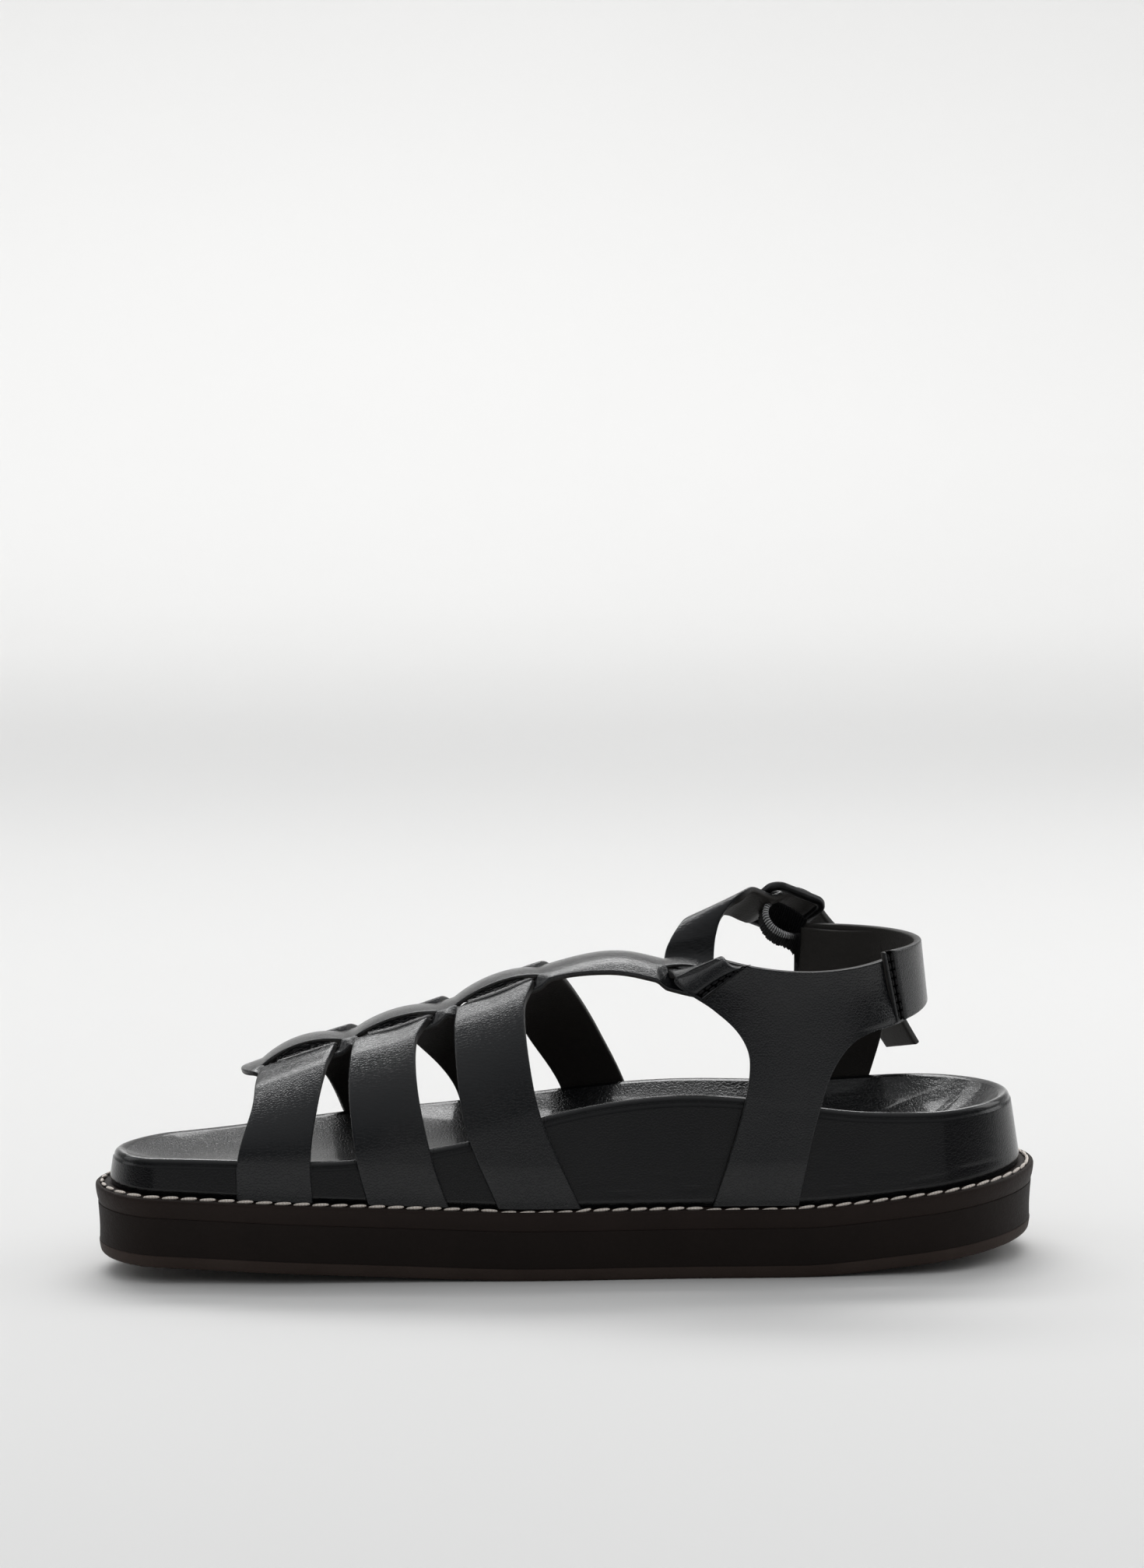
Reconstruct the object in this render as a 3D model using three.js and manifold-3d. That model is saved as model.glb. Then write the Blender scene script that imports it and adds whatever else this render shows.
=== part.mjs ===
// Gladiator sandal for the right foot: layered rocker sole, moulded footbed and a woven strap upper.
// Millimetres, +Z up. X runs along the foot with the toe at -X and the heel at +X; -Y is the inner
// (medial) side of the foot and +Y the outer (lateral) side. "fromHeel" is the distance from the
// back of the sole, and heights are above the floor unless a table says otherwise.
import * as THREE from 'three';
import { mergeVertices } from 'three/addons/utils/BufferGeometryUtils.js';
import Module from 'manifold-3d';

// Driving dimensions
const SOLE_LENGTH = 272;
const OUTSOLE_THICKNESS = 3.6;
const MIDSOLE_THICKNESS = 11;
const WELT_THICKNESS = 5.6;
const LAYER_GAP = 0.3;
const FOOTBED_MARGIN = 3.9;
const WALL_LEAN = 0.16;
const INSOLE_THICKNESS = 1.8;
const INSOLE_GAP = 0.9;
const LEATHER = 2.2;
const STRIP_LEATHER = 1.6;
const STRAP_DIP = 1.2;
const STRAP_CLEARANCE = 0.45;
const STITCHED_OVERLAP = 0.45;
const SLIT_OVERLAP = 0.15;
const HEEL_ROUNDING = 36;
const TOE_ROUNDING = 18;
const TOE_SPRING = { start: 148, slope: 0.05, blend: 12 };
const HEEL_BEVEL = { start: 72, slope: 0.1065, blend: 12 };
const COLLAR = { centre: 71, foreLength: 40, heelLength: 33.6, halfWidth: 29, height: 85, splay: 0.12 };
const BRIDGE = { halfWidth: 5.5, arch: 1.5, runIn: 3, runOut: 4.5, slitBlend: 1.5 };
const MARGIN_RUN_OFF = { start: 1, end: 7 };
const ARCH_PULL = { rim: 0.5, crest: 0.55 };
const RIM = { bead: 3.2, shoulder: 2.2, shoulderInset: 0.1, crownInset: 1.3, innerDrop: 1.2, lip: 0.2 };
const WALL_FOOT = { inset: 0.6, share: 0.08 };
const DISH = { power: 2.6, seatSpan: 0.78 };
const BUCKLE = { along: 20.5, across: 21, bar: 2.4, corner: 4.5, depth: 2.4 };

// Sole outline: a spine from heel to toe with half widths to either side.
const OUTLINE = [
  { fromHeel: 0, spine: 0, medial: 34, lateral: 36 },
  { fromHeel: 36, spine: 0, medial: 37, lateral: 38 },
  { fromHeel: 70, spine: 0, medial: 39.2, lateral: 39.5 },
  { fromHeel: 105, spine: 0, medial: 39, lateral: 42.5 },
  { fromHeel: 140, spine: -0.5, medial: 39.4, lateral: 47 },
  { fromHeel: 170, spine: -1.5, medial: 38, lateral: 50.5 },
  { fromHeel: 195, spine: -4, medial: 35.6, lateral: 51.5 },
  { fromHeel: 220, spine: -8, medial: 32, lateral: 43.5 },
  { fromHeel: 245, spine: -12, medial: 26.4, lateral: 32 },
  { fromHeel: 262, spine: -14, medial: 23.6, lateral: 24 },
  { fromHeel: 272, spine: -15, medial: 22.6, lateral: 20 },
];

// Footbed heights above the welt: rim on either side and the seat along the spine.
const FOOTBED = [
  { fromHeel: 0, medial: 21, lateral: 21, seat: 14 },
  { fromHeel: 31, medial: 22.5, lateral: 22.5, seat: 12.5 },
  { fromHeel: 51, medial: 24.8, lateral: 23.5, seat: 12.5 },
  { fromHeel: 75, medial: 29, lateral: 24, seat: 13.5 },
  { fromHeel: 100, medial: 31.3, lateral: 24, seat: 14 },
  { fromHeel: 120, medial: 30.3, lateral: 22.5, seat: 13 },
  { fromHeel: 142, medial: 26.5, lateral: 19.5, seat: 11 },
  { fromHeel: 162, medial: 19.8, lateral: 16.5, seat: 9.5 },
  { fromHeel: 180, medial: 15.5, lateral: 14, seat: 8.5 },
  { fromHeel: 203, medial: 12, lateral: 12, seat: 7.5 },
  { fromHeel: 235, medial: 11, lateral: 10.4, seat: 6.5 },
  { fromHeel: 272, medial: 10, lateral: 9.6, seat: 6.5 },
];

// Underside of the centre strip over the instep, where every section of the upper has its crest.
const CREST = [
  { fromHeel: 88, height: 79 },
  { fromHeel: 100, height: 81 },
  { fromHeel: 110, height: 84 },
  { fromHeel: 120, height: 86 },
  { fromHeel: 130, height: 85.2 },
  { fromHeel: 145, height: 81 },
  { fromHeel: 158, height: 76 },
  { fromHeel: 170, height: 72 },
  { fromHeel: 186, height: 66.5 },
  { fromHeel: 200, height: 63 },
  { fromHeel: 216, height: 58 },
  { fromHeel: 232, height: 52.5 },
];

// Cross straps: "way" runs from the medial welt (-1) over the crest (0) to the lateral welt (1).
const CROSS_STRAPS = [
  [
    { way: -1, centre: 220.7, width: 21.5 },
    { way: -0.78, centre: 220.7, width: 20.5 },
    { way: -0.5, centre: 217.6, width: 17.6 },
    { way: -0.24, centre: 216, width: 18.2 },
    { way: -0.1, centre: 213.5, width: 20.6 },
    { way: 0, centre: 212, width: 21 },
    { way: 0.4, centre: 201, width: 20 },
    { way: 0.83, centre: 189.6, width: 20.8 },
    { way: 1, centre: 187, width: 21 },
  ],
  [
    { way: -1, centre: 183, width: 23 },
    { way: -0.8, centre: 186.8, width: 21.5 },
    { way: -0.5, centre: 189.5, width: 19.5 },
    { way: -0.24, centre: 188.9, width: 18.8 },
    { way: -0.1, centre: 186.4, width: 21.2 },
    { way: 0, centre: 185, width: 21.6 },
    { way: 0.5, centre: 169.5, width: 19.5 },
    { way: 0.76, centre: 157, width: 20 },
    { way: 1, centre: 153.5, width: 21 },
  ],
  [
    { way: -1, centre: 145.8, width: 23.7 },
    { way: -0.71, centre: 155, width: 22 },
    { way: -0.5, centre: 158, width: 20.7 },
    { way: -0.24, centre: 158.7, width: 20 },
    { way: -0.1, centre: 156.8, width: 21.8 },
    { way: 0, centre: 156, width: 22 },
    { way: 0.32, centre: 144, width: 20 },
    { way: 0.55, centre: 135.3, width: 21 },
    { way: 0.77, centre: 126, width: 19.5 },
    { way: 1, centre: 122.5, width: 20 },
  ],
];

// Centre strip: half width along the foot, with a rounded tip at the toe end.
const STRIP_TIP = { fromHeel: 229.7, rounding: 10, length: 6, lap: 1, blunt: 0.6 };
const STRIP = [
  { fromHeel: 90, half: 12.5 },
  { fromHeel: 112, half: 13.5 },
  { fromHeel: 126, half: 12 },
  { fromHeel: 140, half: 9.5 },
  { fromHeel: 170, half: 9 },
  { fromHeel: 200, half: 9.5 },
  { fromHeel: 222, half: 11 },
  { fromHeel: 232, half: 11 },
];
const BUCKLE_STRAP_CROSSING = { centre: 100, width: 15 };

// Quarters: a row for each level from the welt to the collar, with its fore and aft edge
// (distance from the heel and height).
const MEDIAL_QUARTER = [
  { level: 0, foreAt: 96.4, foreUp: 20.6, aftAt: 72, aftUp: 20.6 },
  { level: 0.2, foreAt: 91.5, foreUp: 35, aftAt: 69, aftUp: 35.7 },
  { level: 0.38, foreAt: 87.2, foreUp: 50, aftAt: 66, aftUp: 47.5 },
  { level: 0.54, foreAt: 85.8, foreUp: 62, aftAt: 62.6, aftUp: 58 },
  { level: 0.64, foreAt: 88.6, foreUp: 69, aftAt: 58, aftUp: 65 },
  { level: 0.74, foreAt: 95, foreUp: 75, aftAt: 52, aftUp: 68.4 },
  { level: 0.82, foreAt: 104.5, foreUp: 81.5, aftAt: 43, aftUp: 71 },
  { level: 0.9, foreAt: 101, foreUp: 86, aftAt: 44.7, aftUp: 81 },
  { level: 1, foreAt: 94, foreUp: 90.4, aftAt: 47.3, aftUp: 92.6 },
];
const MEDIAL_COLLAR_DIP = 4.6;
const LATERAL_QUARTER = [
  { level: 0, foreAt: 78, foreUp: 20.6, aftAt: 53, aftUp: 20.6 },
  { level: 0.3, foreAt: 72, foreUp: 38, aftAt: 46.5, aftUp: 38 },
  { level: 0.55, foreAt: 67.5, foreUp: 54, aftAt: 42, aftUp: 55 },
  { level: 0.75, foreAt: 66, foreUp: 68, aftAt: 42, aftUp: 68 },
  { level: 0.88, foreAt: 66, foreUp: 79, aftAt: 44, aftUp: 77.5 },
  { level: 1, foreAt: 65.6, foreUp: 90, aftAt: 44.5, aftUp: 90.4 },
];
const LATERAL_COLLAR_DIP = 1;

// Heel strap round the collar: turn is the angle from the back of the heel, negative on the medial side.
const HEEL_SEAM_SLANT = 7;
const HEEL_STRAP = [
  { turn: -62, low: 70, high: 91 },
  { turn: -45, low: 71, high: 91.6 },
  { turn: 0, low: 73.4, high: 91.2 },
  { turn: 45, low: 73.6, high: 91 },
  { turn: 84, low: 75, high: 90.6 },
];

// Buckle strap from its seam on the medial quarter over the instep: toe-side edge and heel-side edge.
const BUCKLE_STRAP = [
  { toeAt: 101.6, toeY: -20.4, toeUp: 80, heelAt: 88, heelY: -27.8, heelUp: 91 },
  { toeAt: 104.6, toeY: -16.6, toeUp: 82.2, heelAt: 91.6, heelY: -23.4, heelUp: 91 },
  { toeAt: 107, toeY: -9, toeUp: 84.1, heelAt: 93.2, heelY: -11, heelUp: 86.4 },
  { toeAt: 107.8, toeY: 0, toeUp: 82.2, heelAt: 93.2, heelY: 0, heelUp: 79.2 },
  { toeAt: 107.4, toeY: 8, toeUp: 84.4, heelAt: 92.8, heelY: 9, heelUp: 84.4 },
  { toeAt: 104, toeY: 12, toeUp: 91, heelAt: 92, heelY: 15, heelUp: 91.6 },
  { toeAt: 97.5, toeY: 16.5, toeUp: 96, heelAt: 89.2, heelY: 23, heelUp: 94.4 },
];

// The strap's run through the buckle, in the buckle's own axes: along the strap, outwards from the
// buckle's mid plane, and the strap's high and low edge across it.
const STRAP_IN_BUCKLE = [
  { along: -14.5, out: -4.6, high: -7.2, low: 7.2 },
  { along: -10.5, out: -4.9, high: -7.2, low: 7.2 },
  { along: -7.2, out: -4.7, high: -7.2, low: 7.2 },
  { along: -3.4, out: -2, high: -7.2, low: 7.2 },
  { along: 0.5, out: 1, high: -7.2, low: 7.2 },
  { along: 4.5, out: 1.6, high: -7, low: 7.2 },
  { along: 9.8, out: 1.5, high: -5.4, low: 7.6 },
  { along: 12.4, out: 1.2, high: -2.6, low: 8.6 },
];
const STRAP_TAIL = [
  { toeAt: 51.5, toeY: 39.6, toeUp: 70.5, heelAt: 44.5, heelY: 31, heelUp: 76 },
  { toeAt: 38.8, toeY: 40.5, toeUp: 51, heelAt: 31, heelY: 31.2, heelUp: 53.6 },
];
const BUCKLE_FRONT = { fromHeel: 80.5, y: 27.4, height: 99.4 };
const BUCKLE_BACK = { fromHeel: 61.5, y: 34.9, height: 90.8 };
const BUCKLE_ACROSS_LEAN = { x: -0.15, y: -0.7, z: 0.7 };

// Elastic band from the front of the lateral quarter to the inner side of the buckle: lower and upper edge.
const ELASTIC_FOOT = { toeAt: 66.6, toeY: 29.6, toeUp: 77, heelAt: 66.2, heelY: 29.6, heelUp: 88.4 };
const ELASTIC_MIDDLE = { toeAt: 70.6, toeY: 27.4, toeUp: 84.6, heelAt: 68.4, heelY: 25.8, heelUp: 92 };
const ELASTIC_TOP = { along: -6.5, out: -6.2, low: 6.5, high: -5.5 };
const ELASTIC_THICKNESS = 1.6;

const STATIONS = 40;
const FINISHES = {
  rubber: { color: 0x3a322f, roughness: 0.75, metalness: 0 },
  midsole: { color: 0x2a211e, roughness: 0.8, metalness: 0 },
  welt: { color: 0x453b38, roughness: 0.65, metalness: 0 },
  wrap: { color: 0x17181a, roughness: 0.35, metalness: 0 },
  leather: { color: 0x1c1d20, roughness: 0.38, metalness: 0 },
  elastic: { color: 0x141415, roughness: 0.9, metalness: 0 },
  metal: { color: 0x1b1b1d, roughness: 0.3, metalness: 0.8 },
};

const wasm = await Module();
wasm.setup();

// Value of a table column at a place between its rows, on a smooth curve through the rows.
function column(rows, key, place, by = 'fromHeel') {
  const last = rows.length - 1;
  const at = THREE.MathUtils.clamp(place, rows[0][by], rows[last][by]);
  let i = 0;
  while (i < last - 1 && at > rows[i + 1][by]) i += 1;
  const slope = (k) => {
    const a = rows[Math.max(k - 1, 0)];
    const b = rows[Math.min(k + 1, last)];
    return (b[key] - a[key]) / (b[by] - a[by]);
  };
  const span = rows[i + 1][by] - rows[i][by];
  const t = (at - rows[i][by]) / span;
  const start = rows[i][key] * (1 + 2 * t) * (1 - t) ** 2 + slope(i) * span * t * (1 - t) ** 2;
  return start + rows[i + 1][key] * t * t * (3 - 2 * t) + slope(i + 1) * span * t * t * (t - 1);
}

const smoothstep = (x, low, high) => THREE.MathUtils.smoothstep(x, low, high);

// Sole outline, rocker and footbed wall
const MEDIAL = { key: 'medial', sign: -1 };
const LATERAL = { key: 'lateral', sign: 1 };

function endRounding(u) {
  const heel = THREE.MathUtils.clamp(1 - u / HEEL_ROUNDING, 0, 1);
  const toe = THREE.MathUtils.clamp(1 - (SOLE_LENGTH - u) / TOE_ROUNDING, 0, 1);
  return Math.sqrt(1 - heel * heel) * Math.sqrt(1 - toe * toe);
}

function soleEdge(u, side) {
  return column(OUTLINE, 'spine', u) + side.sign * column(OUTLINE, side.key, u) * endRounding(u);
}

function ramp(distance, { slope, blend }) {
  const run = Math.max(0, distance);
  return slope * (Math.hypot(run, blend) - blend);
}

function rocker(u) {
  return ramp(u - TOE_SPRING.start, TOE_SPRING) + ramp(HEEL_BEVEL.start - u, HEEL_BEVEL);
}

const SOLE_THICKNESS = OUTSOLE_THICKNESS + MIDSOLE_THICKNESS + WELT_THICKNESS;
const weltTop = (u) => SOLE_THICKNESS + rocker(u);

function wallY(u, side, up) {
  const slope = soleEdge(u + 0.5, side) - soleEdge(u - 0.5, side);
  const inset = (FOOTBED_MARGIN + WALL_LEAN * up) * Math.hypot(1, slope);
  return soleEdge(u, side) - side.sign * inset;
}

const stations = Array.from({ length: STATIONS + 1 }, (_, k) => {
  return (SOLE_LENGTH * (1 - Math.cos((Math.PI * k) / STATIONS))) / 2;
});
const widest = (side) => Math.max(...stations.map((u) => side.sign * soleEdge(u, side)));
const CENTRE_Y = (widest(LATERAL) - widest(MEDIAL)) / 2;
const place = (u, y, z) => new THREE.Vector3(SOLE_LENGTH / 2 - u, y - CENTRE_Y, z);

// The outline as a ring: heel, medial stations, toe, lateral stations back to the heel.
const ringStations = [
  ...stations.slice(0, -1).map((u) => ({ u, side: MEDIAL })),
  ...stations.slice(1).reverse().map((u) => ({ u, side: LATERAL })),
];
const outlineRing = ringStations.map(({ u, side }) => new THREE.Vector2(u, soleEdge(u, side)));
const inwards = outlineRing.map((_, i) => {
  const before = outlineRing[(i + outlineRing.length - 1) % outlineRing.length];
  const after = outlineRing[(i + 1) % outlineRing.length];
  const along = after.clone().sub(before).normalize();
  return new THREE.Vector2(-along.y, along.x);
});

// Ring of points at an inset from the outline; inset and height may change from place to place.
function ring(inset, height) {
  return ringStations.map((station, i) => {
    const p = outlineRing[i].clone().addScaledVector(inwards[i], inset(station));
    return place(p.x, p.y, height(station, p));
  });
}

// Closed geometry from triangles given as corner triples, turned so that its faces point out.
function closedGeometry(triangles) {
  const volume = triangles.reduce((sum, [a, b, c]) => sum + a.dot(b.clone().cross(c)), 0);
  const turned = volume > 0 ? triangles : triangles.map(([a, b, c]) => [a, c, b]);
  const geometry = new THREE.BufferGeometry();
  const corners = turned.flatMap((t) => t.flatMap((p) => p.toArray()));
  geometry.setAttribute('position', new THREE.Float32BufferAttribute(corners, 3));
  return geometry;
}

const quad = (a, b, c, d) => [[a, b, c], [a, c, d]];
const proper = ([a, b, c]) => a.distanceTo(b) > 1e-6 && b.distanceTo(c) > 1e-6 && c.distanceTo(a) > 1e-6;

// Solid from a stack of rings, closed at both ends by rungs from side to side.
function ringStack(rings) {
  const count = rings[0].length;
  const triangles = [];
  rings.slice(1).forEach((upper, k) => {
    const lower = rings[k];
    for (let i = 0; i < count; i += 1) {
      const j = (i + 1) % count;
      triangles.push(...quad(lower[i], lower[j], upper[j], upper[i]));
    }
  });
  const rungs = (loop, flip) => {
    for (let k = 0; k < STATIONS; k += 1) {
      const far = (n) => loop[(count - n) % count];
      const faces = quad(loop[k], far(k), far(k + 1), loop[k + 1]).filter(proper);
      triangles.push(...(flip ? faces.map(([a, b, c]) => [a, c, b]) : faces));
    }
  };
  rungs(rings[0], false);
  rungs(rings[rings.length - 1], true);
  return closedGeometry(triangles);
}

// Solid from a grid of points: raised by an offset along its normals and given a thickness outwards.
const FORM_HEART = SOLE_THICKNESS + 15;

function sheet(grid, { offset = () => 0, thickness = LEATHER } = {}) {
  const rows = grid.length;
  const columns = grid[0].length;
  const normalAt = (r, c) => {
    const along = grid[Math.min(r + 1, rows - 1)][c].clone().sub(grid[Math.max(r - 1, 0)][c]);
    const across = grid[r][Math.min(c + 1, columns - 1)].clone().sub(grid[r][Math.max(c - 1, 0)]);
    return along.cross(across).normalize();
  };
  const middle = grid[rows >> 1][columns >> 1];
  const heart = new THREE.Vector3(middle.x, -CENTRE_Y, FORM_HEART);
  const sign = Math.sign(normalAt(rows >> 1, columns >> 1).dot(middle.clone().sub(heart)));
  const skin = (extra) => grid.map((line, r) => line.map((p, c) => {
    return p.clone().addScaledVector(normalAt(r, c), sign * (offset(r, c) + extra));
  }));
  const inner = skin(0);
  const outer = skin(thickness);
  const triangles = [];
  for (let r = 0; r < rows - 1; r += 1) {
    for (let c = 0; c < columns - 1; c += 1) {
      triangles.push(...quad(outer[r][c], outer[r][c + 1], outer[r + 1][c + 1], outer[r + 1][c]));
      triangles.push(...quad(inner[r][c], inner[r + 1][c], inner[r + 1][c + 1], inner[r][c + 1]));
    }
  }
  const rim = [];
  for (let c = 0; c < columns - 1; c += 1) rim.push([0, c]);
  for (let r = 0; r < rows - 1; r += 1) rim.push([r, columns - 1]);
  for (let c = columns - 1; c > 0; c -= 1) rim.push([rows - 1, c]);
  for (let r = rows - 1; r > 0; r -= 1) rim.push([r, 0]);
  rim.forEach(([r, c], i) => {
    const [s, d] = rim[(i + 1) % rim.length];
    triangles.push(...quad(inner[r][c], inner[s][d], outer[s][d], outer[r][c]));
  });
  return closedGeometry(triangles);
}

const gridOf = (rows, columns, point) => Array.from({ length: rows + 1 }, (_, r) => {
  return Array.from({ length: columns + 1 }, (__, c) => point(r / rows, c / columns));
});

// Booleans
function solid(geometry) {
  const bare = geometry.index ? geometry.toNonIndexed() : geometry.clone();
  bare.deleteAttribute('normal');
  bare.deleteAttribute('uv');
  const merged = mergeVertices(bare, 1e-5);
  const vertProperties = merged.attributes.position.array;
  const triVerts = new Uint32Array(merged.index.array);
  return new wasm.Manifold(new wasm.Mesh({ numProp: 3, vertProperties, triVerts }));
}

function geometryOf(manifold) {
  const { vertProperties, triVerts } = manifold.getMesh();
  const geometry = new THREE.BufferGeometry();
  geometry.setAttribute('position', new THREE.Float32BufferAttribute(vertProperties, 3));
  geometry.setIndex(new THREE.BufferAttribute(triVerts, 1));
  return geometry;
}

const joined = (geometries) => geometryOf(geometries.map(solid).reduce((a, b) => a.add(b)));

// Sole layers: insets of the side from top to bottom give the steps and the scooped middle.
function soleLayer(bottom, top, profile) {
  return ringStack(profile.map(({ share, inset }) => {
    const height = bottom + (top - bottom) * share;
    return ring(() => inset, (_, p) => height + rocker(p.x));
  }));
}

const outsole = () => soleLayer(0, OUTSOLE_THICKNESS - LAYER_GAP / 2, [
  { share: 0, inset: 1.9 },
  { share: 0.3, inset: 1.1 },
  { share: 1, inset: 0.8 },
]);

const midsole = () => soleLayer(
  OUTSOLE_THICKNESS + LAYER_GAP / 2,
  OUTSOLE_THICKNESS + MIDSOLE_THICKNESS - LAYER_GAP / 2,
  [
    { share: 0, inset: 1 },
    { share: 0.35, inset: 1.5 },
    { share: 0.7, inset: 1.3 },
    { share: 1, inset: 0.9 },
  ],
);

const welt = () => soleLayer(OUTSOLE_THICKNESS + MIDSOLE_THICKNESS + LAYER_GAP / 2, SOLE_THICKNESS, [
  { share: 0, inset: 0.8 },
  { share: 0.45, inset: 0.2 },
  { share: 0.85, inset: 0 },
  { share: 1, inset: 0.6 },
]);

// Footbed: leaning wall, rounded rim and a dish that falls from the rim to the seat.
const rimUp = ({ u, side }) => column(FOOTBED, side.key, u);

// Rings of the dish as shares of the way from the seat along the spine (0) to the rim's inner edge (1).
const FOOTBED_DISH = [0.995, 0.85, 0.6, 0.3];
const INSOLE_DISH = [0.96, 0.85, 0.6, 0.3];

function dishRing(share, drop) {
  return ringStations.map((station, i) => {
    const rise = rimUp(station);
    const inset = FOOTBED_MARGIN + WALL_LEAN * rise + RIM.bead;
    const edge = outlineRing[i].clone().addScaledVector(inwards[i], inset);
    const middle = SOLE_LENGTH / 2 + (station.u - SOLE_LENGTH / 2) * DISH.seatSpan;
    const seatPoint = new THREE.Vector2(middle, column(OUTLINE, 'spine', middle));
    const p = seatPoint.clone().lerp(edge, share);
    const seat = column(FOOTBED, 'seat', p.x);
    const up = seat + (rise - RIM.innerDrop - seat) * share ** DISH.power;
    return place(p.x, p.y, weltTop(p.x) + up - drop);
  });
}

function footbed() {
  const wall = (share, extra, drop) => ring(
    (s) => FOOTBED_MARGIN + WALL_LEAN * rimUp(s) * share + extra,
    (s, p) => weltTop(p.x) + (share > 0 ? rimUp(s) * share - drop : LAYER_GAP),
  );
  return ringStack([
    wall(0, WALL_FOOT.inset, 0),
    wall(WALL_FOOT.share, 0, 0),
    wall(1, RIM.shoulderInset, RIM.shoulder),
    wall(1, RIM.crownInset, 0),
    dishRing(1, RIM.lip),
    ...FOOTBED_DISH.map((share) => dishRing(share, INSOLE_THICKNESS + INSOLE_GAP)),
  ]);
}

function insole() {
  return ringStack([
    ...INSOLE_DISH.toReversed().map((share) => dishRing(share, INSOLE_THICKNESS)),
    ...INSOLE_DISH.map((share) => dishRing(share, 0)),
  ]);
}

// Sections of the upper: up the footbed wall, then on a smooth arch from the rim to the crest.
const ARCH_STEPS = 28;

function halfSection(u, side) {
  const rise = column(FOOTBED, side.key, u);
  const base = weltTop(u);
  const rimPoint = new THREE.Vector2(wallY(u, side, rise), base + rise);
  const crest = new THREE.Vector2(0, column(CREST, 'height', u));
  const height = crest.y - rimPoint.y;
  const reach = Math.abs(rimPoint.x);
  const upTheWall = new THREE.Vector2(-side.sign * WALL_LEAN, 1);
  const leaving = upTheWall.multiplyScalar(ARCH_PULL.rim * height).add(rimPoint);
  const arriving = new THREE.Vector2(crest.x + side.sign * ARCH_PULL.crest * reach, crest.y);
  const arch = new THREE.CubicBezierCurve(rimPoint, leaving, arriving, crest);
  const foot = new THREE.Vector2(wallY(u, side, LAYER_GAP), base + LAYER_GAP);
  const points = [foot, ...arch.getPoints(ARCH_STEPS)];
  const lengths = [0];
  points.slice(1).forEach((p, i) => lengths.push(lengths[i] + p.distanceTo(points[i])));
  return { points, lengths, total: lengths[lengths.length - 1] };
}

// Point of the foot form at a distance along the section from the crest, towards one side.
function onForm(u, side, fromCrest) {
  const { points, lengths, total } = halfSection(u, side);
  const along = THREE.MathUtils.clamp(total - fromCrest, 0, total);
  let i = 0;
  while (i < points.length - 2 && along > lengths[i + 1]) i += 1;
  const t = (along - lengths[i]) / (lengths[i + 1] - lengths[i]);
  const p = points[i].clone().lerp(points[i + 1], t);
  return place(u, p.x, p.y);
}

const sideOf = (way) => (way < 0 ? MEDIAL : LATERAL);

// A cross strap dips under the strip's bridge and rides over the strip's margins.
function crossStrap(rows) {
  const steps = 28;
  const across = 2;
  const info = (r, c) => {
    const way = -1 + 2 * r;
    const u = column(rows, 'centre', way, 'way') + (c - 0.5) * column(rows, 'width', way, 'way');
    const fromCrest = Math.abs(way) * halfSection(u, sideOf(way)).total;
    return { u, way, fromCrest };
  };
  const grid = gridOf(steps, across, (r, c) => {
    const { u, way, fromCrest } = info(r, c);
    return onForm(u, sideOf(way), fromCrest);
  });
  const { halfWidth, slitBlend } = BRIDGE;
  const offset = (r, c) => {
    const { u, fromCrest } = info(r / steps, c / across);
    const margin = column(STRIP, 'half', u);
    const over = smoothstep(fromCrest, halfWidth - slitBlend, halfWidth + slitBlend);
    const past = 1 - smoothstep(fromCrest, margin + MARGIN_RUN_OFF.start, margin + MARGIN_RUN_OFF.end);
    return STRAP_CLEARANCE + (STRIP_LEATHER - STITCHED_OVERLAP) * over * past - STRAP_DIP * (1 - over);
  };
  return sheet(grid, { offset });
}

// Crossings of the strip: where straps pass under its bridge.
const crossings = [
  ...CROSS_STRAPS.map((rows) => {
    return { centre: column(rows, 'centre', 0, 'way'), width: column(rows, 'width', 0, 'way') };
  }),
  BUCKLE_STRAP_CROSSING,
];

function bridgeRise(u) {
  return Math.max(...crossings.map(({ centre, width }) => {
    const d = Math.abs(u - centre);
    const end = width / 2 + BRIDGE.runOut;
    const lifted = 1 - smoothstep(d, width / 2 - BRIDGE.runIn, end);
    return (LEATHER - STRAP_DIP) * lifted + BRIDGE.arch * Math.max(0, 1 - (d / end) ** 2);
  }));
}

function stripHalf(u) {
  const past = THREE.MathUtils.clamp((u - STRIP_TIP.fromHeel) / STRIP_TIP.rounding + 1, 0, 1);
  return Math.max(column(STRIP, 'half', u) * Math.sqrt(1 - past * past), STRIP_TIP.blunt);
}

// Strip of the form along the crest between two signed distances from it.
function alongCrest({ from, to, steps, columns, low, high, offset }) {
  const grid = gridOf(steps, columns, (r, c) => {
    const u = from + (to - from) * r;
    const e = low(u) + (high(u) - low(u)) * c;
    return onForm(u, sideOf(e), Math.abs(e));
  });
  const lift = (r) => STRAP_CLEARANCE + offset(from + ((to - from) * r) / steps);
  return sheet(grid, { offset: lift, thickness: STRIP_LEATHER });
}

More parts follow.
